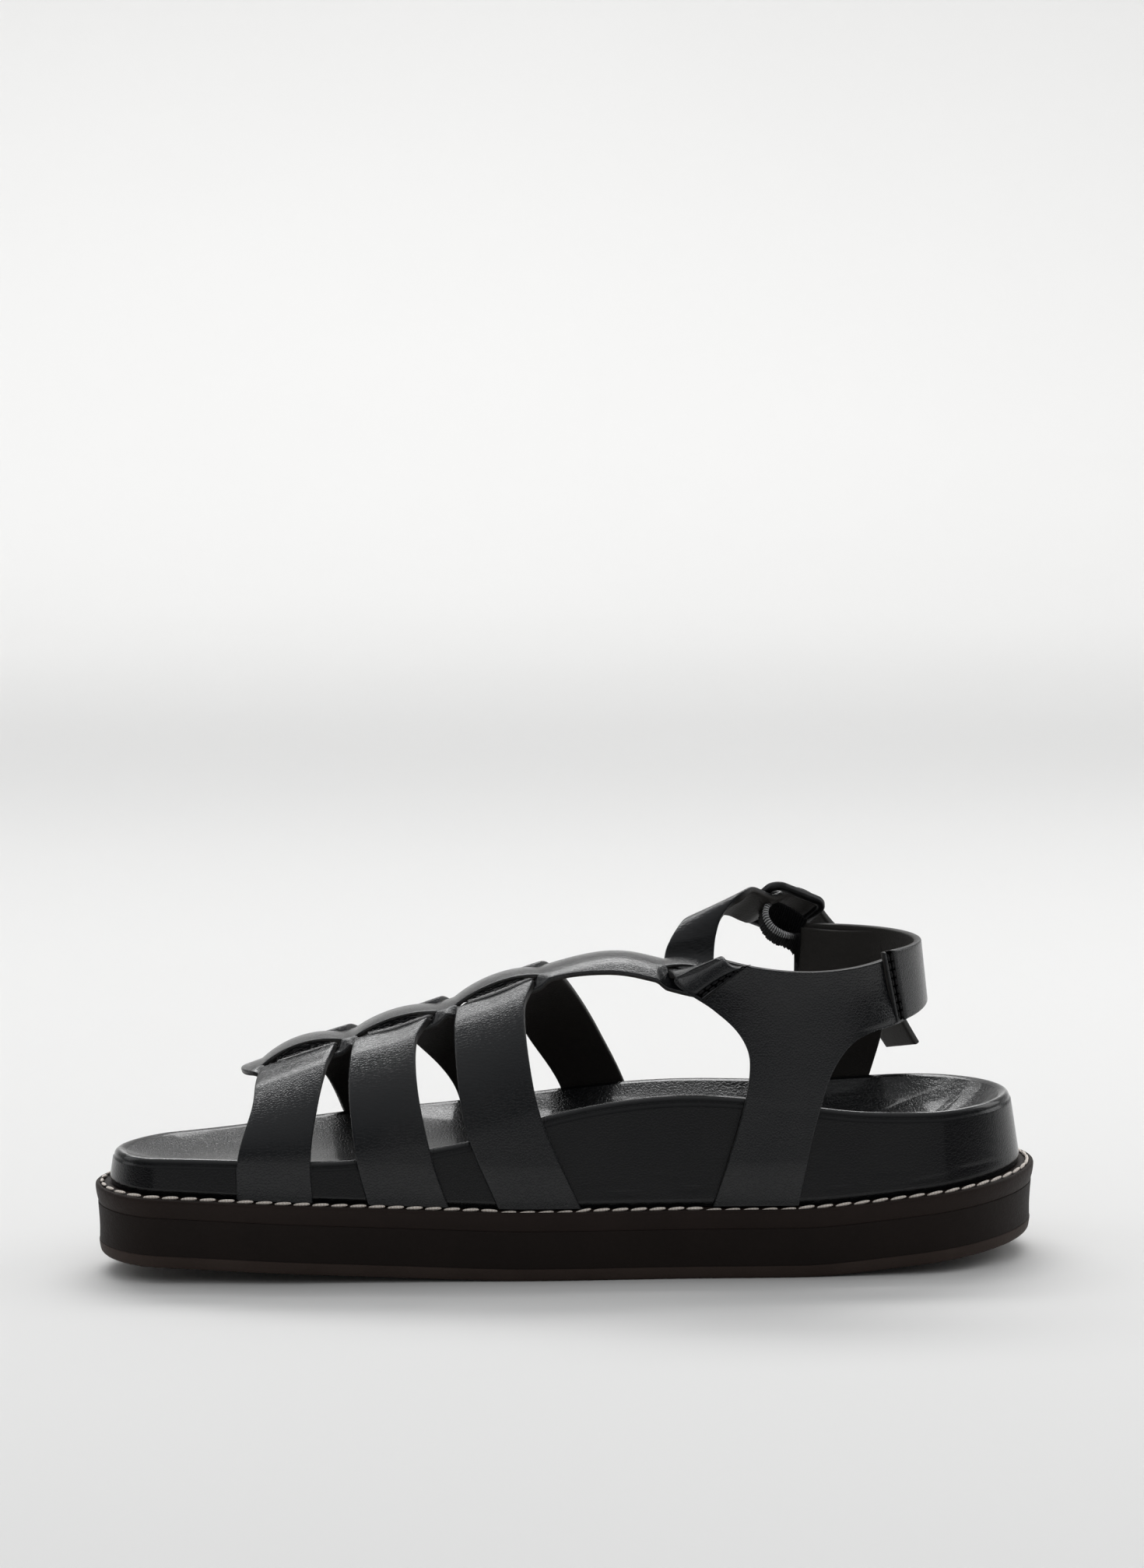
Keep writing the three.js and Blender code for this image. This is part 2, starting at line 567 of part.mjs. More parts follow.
// The strip's tip, its arched middle and its flat margins to either side of the slits.
function centreStrip() {
  const back = STRIP[0].fromHeel;
  const front = STRIP_TIP.fromHeel - STRIP_TIP.length;
  const slit = BRIDGE.halfWidth;
  const tip = { from: front - STRIP_TIP.lap, to: STRIP_TIP.fromHeel, steps: 7, columns: 4 };
  const bridges = { from: back, to: front, steps: 52, columns: 2 };
  const margin = { from: back, to: front, steps: 24, columns: 1 };
  const flat = () => 0;
  const medialEdge = (u) => -stripHalf(u);
  return [
    alongCrest({ ...tip, low: medialEdge, high: stripHalf, offset: flat }),
    alongCrest({ ...bridges, low: () => -slit, high: () => slit, offset: bridgeRise }),
    alongCrest({ ...margin, low: medialEdge, high: () => SLIT_OVERLAP - slit, offset: flat }),
    alongCrest({ ...margin, low: () => slit - SLIT_OVERLAP, high: stripHalf, offset: flat }),
  ];
}

// Collar: an ellipse in plan that opens a little towards its lower edge at the heel.
function collarHalfWidth(u) {
  const reach = u > COLLAR.centre ? COLLAR.foreLength : COLLAR.heelLength;
  const share = THREE.MathUtils.clamp((u - COLLAR.centre) / reach, -1, 1);
  return COLLAR.halfWidth * Math.sqrt(1 - share * share);
}

// Side of the ankle: on the footbed wall below the rim, blending up into the collar ellipse.
function ankleSide(u, z, side) {
  const rise = column(FOOTBED, side.key, u);
  const up = z - weltTop(u);
  const onWall = side.sign * wallY(u, side, Math.min(up, rise));
  const blend = smoothstep(up, rise, COLLAR.height - weltTop(u));
  return place(u, side.sign * (onWall + (collarHalfWidth(u) - onWall) * blend), z);
}

function quarter(rows, side, dip) {
  const steps = 16;
  const across = 6;
  const grid = gridOf(steps, across, (level, t) => {
    const read = (key) => column(rows, key, level, 'level');
    const u = read('foreAt') + (read('aftAt') - read('foreAt')) * t;
    const sag = dip * level ** 4 * 4 * t * (1 - t);
    const z = read('foreUp') + (read('aftUp') - read('foreUp')) * t - sag;
    return ankleSide(u, Math.max(z, weltTop(u) + LAYER_GAP), side);
  });
  return sheet(grid, { offset: () => STRAP_CLEARANCE });
}

function heelStrap() {
  const steps = 22;
  const first = HEEL_STRAP[0].turn;
  const last = HEEL_STRAP[HEEL_STRAP.length - 1].turn;
  const grid = gridOf(steps, 2, (r, c) => {
    const turn = first + (last - first) * r;
    const angle = THREE.MathUtils.degToRad(turn + HEEL_SEAM_SLANT * (1 - c) * (1 - r) ** 4);
    const low = column(HEEL_STRAP, 'low', turn, 'turn');
    const z = low + (column(HEEL_STRAP, 'high', turn, 'turn') - low) * c;
    const splay = COLLAR.splay * (COLLAR.height - z) * Math.max(0, Math.cos(angle));
    const u = COLLAR.centre - (COLLAR.heelLength + splay) * Math.cos(angle);
    return place(u, COLLAR.halfWidth * Math.sin(angle), z);
  });
  return sheet(grid, { offset: () => STRAP_CLEARANCE + LEATHER - STITCHED_OVERLAP });
}

// Buckle axes: along the strap towards the heel, across it downwards, and outwards.
const buckleFront = place(BUCKLE_FRONT.fromHeel, BUCKLE_FRONT.y, BUCKLE_FRONT.height);
const buckleBack = place(BUCKLE_BACK.fromHeel, BUCKLE_BACK.y, BUCKLE_BACK.height);
const buckleMiddle = buckleFront.clone().lerp(buckleBack, 0.5);
const alongStrap = buckleBack.clone().sub(buckleFront).normalize();
const lean = new THREE.Vector3(BUCKLE_ACROSS_LEAN.x, BUCKLE_ACROSS_LEAN.y, BUCKLE_ACROSS_LEAN.z);
const outwards = lean.clone().cross(alongStrap).normalize();
const acrossStrap = outwards.clone().cross(alongStrap).normalize();
const atBuckle = (along, across, out) => buckleMiddle.clone()
  .addScaledVector(alongStrap, along)
  .addScaledVector(acrossStrap, across)
  .addScaledVector(outwards, out);

// Ribbon between a toe-side edge and a heel-side edge, smooth along its rows.
function ribbon(edges, steps, columns, options) {
  const toe = new THREE.CatmullRomCurve3(edges.map((e) => e.toe), false, 'centripetal');
  const heel = new THREE.CatmullRomCurve3(edges.map((e) => e.heel), false, 'centripetal');
  const grid = gridOf(steps, columns, (r, c) => toe.getPoint(r).lerp(heel.getPoint(r), c));
  return sheet(grid, options);
}

const tableEdges = (rows) => rows.map((row) => ({
  toe: place(row.toeAt, row.toeY, row.toeUp),
  heel: place(row.heelAt, row.heelY, row.heelUp),
}));

function buckleStrap() {
  const inBuckle = STRAP_IN_BUCKLE.map(({ along, out, high, low }) => ({
    toe: atBuckle(along, high, out),
    heel: atBuckle(along, low, out),
  }));
  const tail = tableEdges(STRAP_TAIL).map(({ toe, heel }) => ({ toe: heel, heel: toe }));
  const edges = [...tableEdges(BUCKLE_STRAP), ...inBuckle, ...tail];
  return ribbon(edges, 48, 2, { offset: () => STRAP_CLEARANCE });
}

const upper = () => joined([
  ...CROSS_STRAPS.map(crossStrap),
  ...centreStrip(),
  quarter(MEDIAL_QUARTER, MEDIAL, MEDIAL_COLLAR_DIP),
  quarter(LATERAL_QUARTER, LATERAL, LATERAL_COLLAR_DIP),
  heelStrap(),
  buckleStrap(),
]);

function elastic() {
  const top = {
    toe: atBuckle(ELASTIC_TOP.along, ELASTIC_TOP.low, ELASTIC_TOP.out),
    heel: atBuckle(ELASTIC_TOP.along, ELASTIC_TOP.high, ELASTIC_TOP.out),
  };
  const edges = [...tableEdges([ELASTIC_FOOT, ELASTIC_MIDDLE]), top];
  return ribbon(edges, 8, 2, { thickness: ELASTIC_THICKNESS });
}

// Buckle frame: a rounded rectangle that the strap passes through.
function roundedRectangle(path, halfX, halfY, radius) {
  path.moveTo(-halfX + radius, -halfY);
  path.lineTo(halfX - radius, -halfY);
  path.absarc(halfX - radius, -halfY + radius, radius, -Math.PI / 2, 0);
  path.lineTo(halfX, halfY - radius);
  path.absarc(halfX - radius, halfY - radius, radius, 0, Math.PI / 2);
  path.lineTo(-halfX + radius, halfY);
  path.absarc(-halfX + radius, halfY - radius, radius, Math.PI / 2, Math.PI);
  path.lineTo(-halfX, -halfY + radius);
  path.absarc(-halfX + radius, -halfY + radius, radius, Math.PI, Math.PI * 1.5);
  return path;
}

function intoBuckleAxes(geometry) {
  const basis = new THREE.Matrix4().makeBasis(alongStrap, acrossStrap, outwards);
  return geometry.applyMatrix4(basis.setPosition(buckleMiddle));
}

function buckleFrame() {
  const shape = roundedRectangle(new THREE.Shape(), BUCKLE.along / 2, BUCKLE.across / 2, BUCKLE.corner);
  const inner = BUCKLE.corner - BUCKLE.bar / 2;
  const halfX = BUCKLE.along / 2 - BUCKLE.bar;
  const halfY = BUCKLE.across / 2 - BUCKLE.bar;
  shape.holes.push(roundedRectangle(new THREE.Path(), halfX, halfY, inner));
  const options = { depth: BUCKLE.depth, bevelEnabled: false, curveSegments: 5 };
  const geometry = new THREE.ExtrudeGeometry(shape, options);
  return intoBuckleAxes(geometry.translate(0, 0, -BUCKLE.depth / 2));
}

// Prong: a flat pin seen from its side, from its eye over the strap to its tip on the front bar.
const PRONG = {
  width: 1.9, thickness: 1.4, tipThickness: 1.1, tip: -11.4, seat: 1.55, bend: 1.2, rise: 4.95, eye: 4,
};

function buckleProng() {
  const shape = new THREE.Shape();
  shape.moveTo(PRONG.tip, PRONG.seat);
  shape.lineTo(PRONG.bend, PRONG.rise);
  shape.lineTo(PRONG.eye, PRONG.rise);
  shape.lineTo(PRONG.eye, PRONG.rise + PRONG.thickness);
  shape.lineTo(PRONG.bend, PRONG.rise + PRONG.thickness);
  shape.lineTo(PRONG.tip, PRONG.seat + PRONG.tipThickness);
  const geometry = new THREE.ExtrudeGeometry(shape, { depth: PRONG.width, bevelEnabled: false });
  geometry.translate(0, 0, -PRONG.width / 2);
  return intoBuckleAxes(geometry.rotateX(Math.PI / 2));
}

function part(name, geometry, finish) {
  const mesh = new THREE.Mesh(geometry, new THREE.MeshStandardMaterial(finish));
  mesh.name = name;
  return mesh;
}

const sandal = new THREE.Group();
sandal.add(
  part('outsole', outsole(), FINISHES.rubber),
  part('midsole', midsole(), FINISHES.midsole),
  part('welt', welt(), FINISHES.welt),
  part('footbed', footbed(), FINISHES.wrap),
  part('insole', insole(), FINISHES.leather),
  part('upper', upper(), FINISHES.leather),
  part('elastic', elastic(), FINISHES.elastic),
  part('buckle_frame', buckleFrame(), FINISHES.metal),
  part('buckle_prong', buckleProng(), FINISHES.metal),
);

export default sandal;
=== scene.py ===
"""Looks of a black leather gladiator sandal for the right foot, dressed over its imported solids.

Sizes are millimetres here and metres in the meshes. X runs along the foot with the toe at -X, -Y is the
inner (medial) side of the foot and Z is up. "u" is the distance from the back of the heel, and "sign" is
-1 on the medial side and 1 on the lateral side.
"""

import logging
import math
from dataclasses import dataclass
from enum import Enum, Flag, auto
from functools import cache

import bmesh
import bpy
import numpy as np
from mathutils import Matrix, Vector


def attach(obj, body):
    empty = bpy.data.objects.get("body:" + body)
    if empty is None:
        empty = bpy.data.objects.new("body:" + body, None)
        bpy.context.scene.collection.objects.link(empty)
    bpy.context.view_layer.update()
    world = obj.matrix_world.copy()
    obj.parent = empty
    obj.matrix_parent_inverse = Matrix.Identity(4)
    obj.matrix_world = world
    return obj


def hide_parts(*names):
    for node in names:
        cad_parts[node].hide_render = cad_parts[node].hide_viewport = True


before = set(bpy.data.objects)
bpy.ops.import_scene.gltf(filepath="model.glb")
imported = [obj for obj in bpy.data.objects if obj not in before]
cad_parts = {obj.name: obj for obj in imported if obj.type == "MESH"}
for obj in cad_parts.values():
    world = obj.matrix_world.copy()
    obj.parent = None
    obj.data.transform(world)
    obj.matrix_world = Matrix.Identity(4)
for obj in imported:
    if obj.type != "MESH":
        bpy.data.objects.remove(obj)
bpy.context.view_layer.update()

LOG = logging.getLogger("sandal")
Array = np.ndarray
Pair = tuple[float, float]
Triple = tuple[float, float, float]
Window = tuple[float, float, float, float]
Colour = tuple[float, float, float, float]
MM = 0.001
BODY = "root"
PHOTO_WIDTH, PHOTO_HEIGHT = 1470, 2014
# The gather value bumps gathers into leather; on the elastic web it is a painted rib highlight.
POINT_VALUES = ("along", "lining", "edge", "gather", "pit")
# Black shader that reflects nothing, mixed in at the bottom of seam troughs as painted shade.
PAINTED_SHADE_SHADER = {"Base Color": (0.0015, 0.0015, 0.0017, 1), "Roughness": 1.0, "Specular IOR Level": 0.0}
SHARP_ANGLE = math.radians(42)
WELD = 2e-6
ROUNDING = 0.55
EDGE_STEPS = 5
LID_POINTS = 4
FINE_DETAIL, SOFT_DETAIL = 3.0, 2.0


def smoothstep(x: Array, low: float | Array, high: float | Array) -> Array:
    """Smooth step from 0 at low to 1 at high: 3t^2 - 2t^3."""
    t = np.clip((x - low) / (high - low), 0, 1)
    return t * t * (3 - 2 * t)


def window(x: Array, start: float, full: float, fade: float, end: float) -> Array:
    """Smooth window: steps up from start to full and down again from fade to end."""
    return smoothstep(x, start, full) * (1 - smoothstep(x, fade, end))


def unit(vectors: Array) -> Array:
    """Vectors scaled to length 1 along the last axis."""
    return vectors / np.maximum(np.linalg.norm(vectors, axis=-1, keepdims=True), 1e-9)


def run(points: Array, axis: int) -> Array:
    """Running length of a point grid along one axis, from its first line.

    Args:
        points: grid of points.
        axis: axis of the grid to run along.

    Returns:
        The length from the first line to each point.
    """
    steps = np.linalg.norm(np.diff(points, axis=axis), axis=-1)
    pad = [(0, 0)] * steps.ndim
    pad[axis] = (1, 0)
    return np.cumsum(np.pad(steps, pad), axis=axis)


def eased(steps: int) -> Array:
    """Values from 0 to 1, close together at both ends: (1 - cos) / 2."""
    return (1 - np.cos(np.linspace(0, np.pi, steps + 1))) / 2


def edged(count: int, width: float, rounding: float = ROUNDING) -> Array:
    """Values from 0 to 1, even in the middle and close together inside the rounding at both ends.

    Args:
        count: values in the middle.
        width: real width that the values stand for.
        rounding: radius of the rounded edge.

    Returns:
        The values in rising order.
    """
    share = rounding / width
    ease = share * (1 - np.cos(np.linspace(0, np.pi / 2, EDGE_STEPS)))
    return np.concatenate([ease[:-1], np.linspace(share, 1 - share, count), 1 - ease[-2::-1]])


def edge_drop(distance: Array, rounding: float) -> Array:
    """How far a rounded edge lowers a point d away: r - sqrt(r^2 - (r - d)^2), and 0 past the rounding r."""
    inside = rounding - np.minimum(distance, rounding)
    return rounding - np.sqrt(rounding**2 - inside**2)


def troughs(depth: Array, along: Array, over: Array) -> Array:
    """Sum of Gaussian troughs, depth exp(-along^2 - over^2), over the first axis."""
    return (depth * np.exp(-(along**2) - over**2)).sum(0)


def ruled(first: Array, second: Array, share: Array) -> Array:
    """Ruled surface: straight lines from one edge at share 0 to the other at share 1."""
    share = share[None, :, None]
    return first[:, None] * (1 - share) + second[:, None] * share


def hermite(t: Array, start: Array, leave: Array, end: Array, arrive: Array) -> Array:
    """Cubic Hermite piece for t from 0 to 1 between two values, with the slopes leave and arrive."""
    first = start * (1 + 2 * t) * (1 - t) ** 2 + leave * t * (1 - t) ** 2
    return first + end * t * t * (3 - 2 * t) + arrive * t * t * (t - 1)


def smooth_path(points: Array, at: Array) -> Array:
    """Centripetal Catmull-Rom curve through points.

    Args:
        points: the points, one a row.
        at: places from 0 at the first point to 1 at the last, even from point to point.

    Returns:
        Points of the curve.
    """
    ends = np.concatenate([2 * points[:1] - points[1:2], points, 2 * points[-1:] - points[-2:-1]])
    gaps = np.sqrt(np.linalg.norm(np.diff(ends, axis=0), axis=1))[:, None]
    spot = at * (len(points) - 1)
    i = np.clip(spot.astype(int), 0, len(points) - 2)
    p0, p1, p2, p3 = (ends[i + k] for k in range(4))
    gap0, gap1, gap2 = (gaps[i + k] for k in range(3))
    leave = ((p1 - p0) / gap0 - (p2 - p0) / (gap0 + gap1) + (p2 - p1) / gap1) * gap1
    arrive = ((p2 - p1) / gap1 - (p3 - p1) / (gap1 + gap2) + (p3 - p2) / gap2) * gap1
    return hermite((spot - i)[:, None], p1, leave, p2, arrive)


class Table:
    """Short table of sizes whose columns are read on a smooth curve through its rows."""

    def __init__(self, names: str, *rows: tuple[float, ...]) -> None:
        """Keeps the columns by name; the first of them says where a row lies."""
        self.key = names.split()[0]
        self.columns = dict(zip(names.split(), np.array(rows, float).T))

    def __call__(self, name: str, place: Array) -> Array:
        """Column at a place: cubic Hermite pieces with the slopes of the neighbouring rows.

        Args:
            name: the column.
            place: where to read it, held inside the table.

        Returns:
            The column's values.
        """
        x, y = self.columns[self.key], self.columns[name]
        before = np.maximum(np.arange(len(x)) - 1, 0)
        after = np.minimum(np.arange(len(x)) + 1, len(x) - 1)
        slope = (y[after] - y[before]) / (x[after] - x[before])
        at = np.clip(place, x[0], x[-1])
        i = np.clip(np.searchsorted(x, at, "right") - 1, 0, len(x) - 2)
        span = x[i + 1] - x[i]
        return hermite((at - x[i]) / span, y[i], slope[i] * span, y[i + 1], slope[i + 1] * span)

    def stacked(self) -> dict[str, Array]:
        """Columns on an axis of their own, in front of a grid's two."""
        return {key: value[:, None, None] for key, value in self.columns.items()}


class Side(Enum):
    """Side of the foot, as the sign of Y."""

    MEDIAL = -1
    LATERAL = 1


class Border(Flag):
    """Borders of a sheet's grid that are cut and rounded."""

    START = auto()
    END = auto()
    LEFT = auto()
    RIGHT = auto()
    SIDES = LEFT | RIGHT
    ALL = START | END | LEFT | RIGHT


@dataclass
class FootForm:
    """The last: sole outline, rocker, footbed heights and the sections that the upper lies on."""

    length: float = 272.0
    sole_thickness: float = 20.2
    gap: float = 0.3
    margin: float = 3.9
    lean: float = 0.16
    heel_rounding: float = 36.0
    toe_rounding: float = 18.0
    spring: Triple = (148.0, 0.05, 12.0)
    bevel: Triple = (72.0, 0.1065, 12.0)
    pull_rim: float = 0.5
    pull_crest: float = 0.55
    bead: float = 3.2
    inner_drop: float = 0.45
    dish_power: float = 2.6
    seat_span: float = 0.78
    collar_centre: float = 71.0
    collar_fore: float = 40.0
    collar_heel: float = 33.6
    collar_half: float = 29.0
    collar_height: float = 85.0
    collar_splay: float = 0.12
    rim_blend: float = 10.0
    stations: int = 320
    width_stations: int = 40
    arch_steps: int = 150
    outline: Table = Table(
        "u spine medial lateral",
        (0, 0, 34, 36), (36, 0, 37, 38), (70, 0, 39.2, 39.5), (105, 0, 39, 42.5), (140, -0.5, 39.4, 47),
        (170, -1.5, 38, 50.5), (195, -4, 35.6, 51.5), (220, -8, 32, 43.5), (245, -12, 26.4, 32),
        (262, -14, 23.6, 24), (272, -15, 22.6, 20))
    rim: Table = Table(
        "u medial lateral seat",
        (0, 21, 21, 14), (31, 22.5, 22.5, 12.5), (51, 24.8, 23.5, 12.5), (75, 29, 24, 13.5),
        (100, 31.3, 24, 14), (120, 30.3, 22.5, 13), (142, 26.5, 19.5, 11), (162, 19.8, 16.5, 9.5),
        (180, 15.5, 14, 8.5), (203, 12, 12, 7.5), (235, 11, 10.4, 6.5), (272, 10, 9.6, 6.5))
    crest: Table = Table(
        "u height",
        (88, 79), (100, 81), (110, 84), (120, 86), (130, 85.2), (145, 81), (158, 76), (170, 72),
        (186, 66.5), (200, 63), (216, 58), (232, 52.5))

    def __post_init__(self) -> None:
        """Works out the outline ring, its inward normals and the middle of the width."""
        half = self.length * eased(self.stations)
        self.ring_u = np.concatenate([half[:-1], half[:0:-1]])
        self.ring_sign = np.repeat([-1.0, 1.0], self.stations)
        self.outline_ring = np.stack([self.ring_u, self.edge(self.ring_u, self.ring_sign)], -1)
        along = unit(np.roll(self.outline_ring, -1, 0) - np.roll(self.outline_ring, 1, 0))
        self.inwards = np.stack([-along[:, 1], along[:, 0]], -1)
        coarse = self.length * eased(self.width_stations)
        lateral = self.edge(coarse, np.ones_like(coarse)).max()
        medial = -self.edge(coarse, -np.ones_like(coarse)).min()
        self.centre_y = (lateral - medial) / 2

    def sided(self, table: Table, u: Array, sign: Array) -> Array:
        """The table's medial or lateral column, by sign."""
        return np.where(sign < 0, table("medial", u), table("lateral", u))

    def edge(self, u: Array, sign: Array) -> Array:
        """Y of the sole's edge: the spine plus the half width, rounded off as an ellipse at heel and toe.

        Args:
            u: distance from the heel.
            sign: side of the foot.

        Returns:
            Y of the edge.
        """
        heel = np.clip(1 - u / self.heel_rounding, 0, 1)
        toe = np.clip(1 - (self.length - u) / self.toe_rounding, 0, 1)
        ends = np.sqrt(1 - heel**2) * np.sqrt(1 - toe**2)
        return self.outline("spine", u) + sign * self.sided(self.outline, u, sign) * ends

    def rocker(self, u: Array) -> Array:
        """Height of the sole's underside: soft ramps, slope (hypot(past, blend) - blend), at toe and heel.

        Args:
            u: distance from the heel.

        Returns:
            Height above the floor.
        """
        start, slope, blend = self.spring
        toe = slope * (np.hypot(np.maximum(u - start, 0), blend) - blend)
        start, slope, blend = self.bevel
        return toe + slope * (np.hypot(np.maximum(start - u, 0), blend) - blend)

    def welt_top(self, u: Array) -> Array:
        """Height of the welt's upper face."""
        return self.sole_thickness + self.rocker(u)

    def wall(self, u: Array, sign: Array, up: Array) -> Array:
        """Y of the footbed's leaning wall at a height above the welt; the slope is taken over 1 mm."""
        slope = self.edge(u + 0.5, sign) - self.edge(u - 0.5, sign)
        return self.edge(u, sign) - sign * (self.margin + self.lean * up) * np.hypot(1, slope)

    def place(self, u: Array, y: Array, z: Array) -> Array:
        """Point in the shoe's frame."""
        return np.stack(np.broadcast_arrays(self.length / 2 - u, y - self.centre_y, z), -1)

    def edges_of(self, rows: Table) -> list[Array]:
        """Toe-side and heel-side edge points of a table that gives their u, Y and Z."""
        columns = [[rows.columns[f"{end}_{axis}"] for axis in ("at", "y", "up")] for end in ("toe", "heel")]
        return [self.place(*column) for column in columns]

    def ring(self, inset: Array, height: Array) -> Array:
        """Rings of points at insets from the outline, at heights above the underside that rocks with them."""
        flat = self.outline_ring[:, None] + self.inwards[:, None] * inset[..., None]
        return self.place(flat[..., 0], flat[..., 1], height + self.rocker(flat[..., 0]))

    def rungs(self, loop: Array, count: int = LID_POINTS) -> Array:
        """Straight rungs across a ring, from its medial to its lateral points."""
        far = loop[-np.arange(self.stations + 1)]
        return ruled(loop[: self.stations + 1], far, np.linspace(0, 1, count))

    def dish(self, share: Array, drop: float) -> Array:
        """Dished seat: from the spine (share 0) to the rim's inner edge (1), rising with a power of share.

        Args:
            share: shares of the way, one ring of points for each.
            drop: distance below the seat.

        Returns:
            Points, one line for each station.
        """
        rise = self.sided(self.rim, self.ring_u, self.ring_sign)
        inset = self.margin + self.lean * rise + self.bead
        edge = self.outline_ring + self.inwards * inset[:, None]
        middle = self.length / 2 + (self.ring_u - self.length / 2) * self.seat_span
        seat_line = np.stack([middle, self.outline("spine", middle)], -1)
        flat = seat_line[:, None] + (edge - seat_line)[:, None] * share[:, None]
        seat = self.rim("seat", flat[..., 0])
        up = seat + (rise[:, None] - self.inner_drop - seat) * share**self.dish_power
        return self.place(flat[..., 0], flat[..., 1], self.welt_top(flat[..., 0]) + up - drop)

    def section(self, u: Array, sign: Array) -> tuple[Array, Array]:
        """Half sections of the upper: up the footbed wall, then a cubic Bezier arch from rim to crest.

        Args:
            u: distances from the heel.
            sign: side of the foot.

        Returns:
            Points (Y, Z) of each section from the welt to the crest, and their running lengths.
        """
        rise = self.sided(self.rim, u, sign)
        base = self.welt_top(u)
        rim = np.stack([self.wall(u, sign, rise), base + rise], -1)
        crest = np.stack([np.zeros_like(u), self.crest("height", u)], -1)
        climb = (crest[..., 1] - rim[..., 1])[..., None]
        leaving = rim + self.pull_rim * climb * np.stack([-sign * self.lean, np.ones_like(u)], -1)
        reach = np.stack([sign * self.pull_crest * np.abs(rim[..., 0]), np.zeros_like(u)], -1)
        t = np.linspace(0, 1, self.arch_steps + 1)[:, None]
        ends = rim[..., None, :] * (1 - t) ** 3 + crest[..., None, :] * t**3
        from_rim = 3 * leaving[..., None, :] * (1 - t) ** 2 * t
        to_crest = 3 * (crest + reach)[..., None, :] * (1 - t) * t**2
        foot = np.stack([self.wall(u, sign, self.gap + 0 * u), base + self.gap], -1)
        points = np.concatenate([foot[..., None, :], ends + (from_rim + to_crest)], -2)
        return points, run(points, points.ndim - 2)

    def on_form(self, u: Array, across: Array) -> Array:
        """Points of the foot form at signed distances from the crest, measured along the sections.

        Args:
            u: distances from the heel.
            across: distances from the crest, negative towards the medial side.

        Returns:
            Points in the shoe's frame.
        """
        sign = np.where(across < 0, -1.0, 1.0)
        points, lengths = self.section(u, sign)
        along = np.clip(lengths[..., -1] - np.abs(across), 0, lengths[..., -1])[..., None]
        i = np.clip((lengths <= along).sum(-1) - 1, 0, lengths.shape[-1] - 2)[..., None]
        low, high = (np.take_along_axis(lengths, i + k, -1) for k in range(2))
        near, far = (np.take_along_axis(points, i[..., None] + k, -2)[..., 0, :] for k in range(2))
        t = (along - low) / (high - low)
        flat = near * (1 - t) + far * t
        return self.place(u, flat[..., 0], flat[..., 1])

    def collar_at(self, u: Array) -> Array:
        """Half width of the collar, an ellipse in plan."""
        reach = np.where(u > self.collar_centre, self.collar_fore, self.collar_heel)
        return self.collar_half * np.sqrt(1 - np.clip((u - self.collar_centre) / reach, -1, 1) ** 2)

    def ankle(self, u: Array, z: Array, sign: float) -> Array:
        """Side of the ankle: on the footbed wall below the rim, blending up into the collar.

        Args:
            u: distances from the heel.
            z: heights above the floor.
            sign: side of the foot.

        Returns:
            Points in the shoe's frame.
        """
        side = np.full_like(u, sign)
        rise = self.sided(self.rim, u, side)
        up = z - self.welt_top(u)
        under_rim = (up + rise - np.hypot(up - rise, self.rim_blend)) / 2
        on_wall = sign * self.wall(u, side, under_rim)
        blend = smoothstep(up, rise, self.collar_height - self.welt_top(u))
        return self.place(u, sign * (on_wall + (self.collar_at(u) - on_wall) * blend), z)


class Signal:
    """A shader value: arithmetic on it adds Math nodes to its graph."""

    def __init__(self, graph: "Graph", socket: bpy.types.NodeSocket) -> None:
        """Wraps an output socket of a graph."""
        self.graph = graph
        self.socket = socket

    def _math(self, operation: str, left: "Signal | float", right: "Signal | float") -> "Signal":
        """Adds a Math node."""
        return self.graph.node("ShaderNodeMath", {"operation": operation}, {0: left, 1: right})

    def __add__(self, other: "Signal | float") -> "Signal":
        """Sum."""
        return self._math("ADD", self, other)

    def __radd__(self, other: float) -> "Signal":
        """Sum with a number on the left."""
        return self._math("ADD", other, self)

    def __sub__(self, other: "Signal | float") -> "Signal":
        """Difference."""
        return self._math("SUBTRACT", self, other)

    def __rsub__(self, other: float) -> "Signal":
        """Difference from a number on the left."""
        return self._math("SUBTRACT", other, self)

    def __mul__(self, other: "Signal | float") -> "Signal":
        """Product."""
        return self._math("MULTIPLY", self, other)

    def __rmul__(self, other: float) -> "Signal":
        """Product with a number on the left."""
        return self._math("MULTIPLY", other, self)

    def sine(self) -> "Signal":
        """Sine of the value."""
        return self._math("SINE", self, 0.0)

    def centred(self) -> "Signal":
        """A noise's value less its middle, so that it varies about 0."""
        return self - 0.5

    def step(self, low: float, high: float) -> "Signal":
        """Smooth step of the value from 0 at low to 1 at high."""
        inputs = {"Value": self, "From Min": low, "From Max": high}
        return self.graph.node("ShaderNodeMapRange", {"interpolation_type": "SMOOTHSTEP"}, inputs)


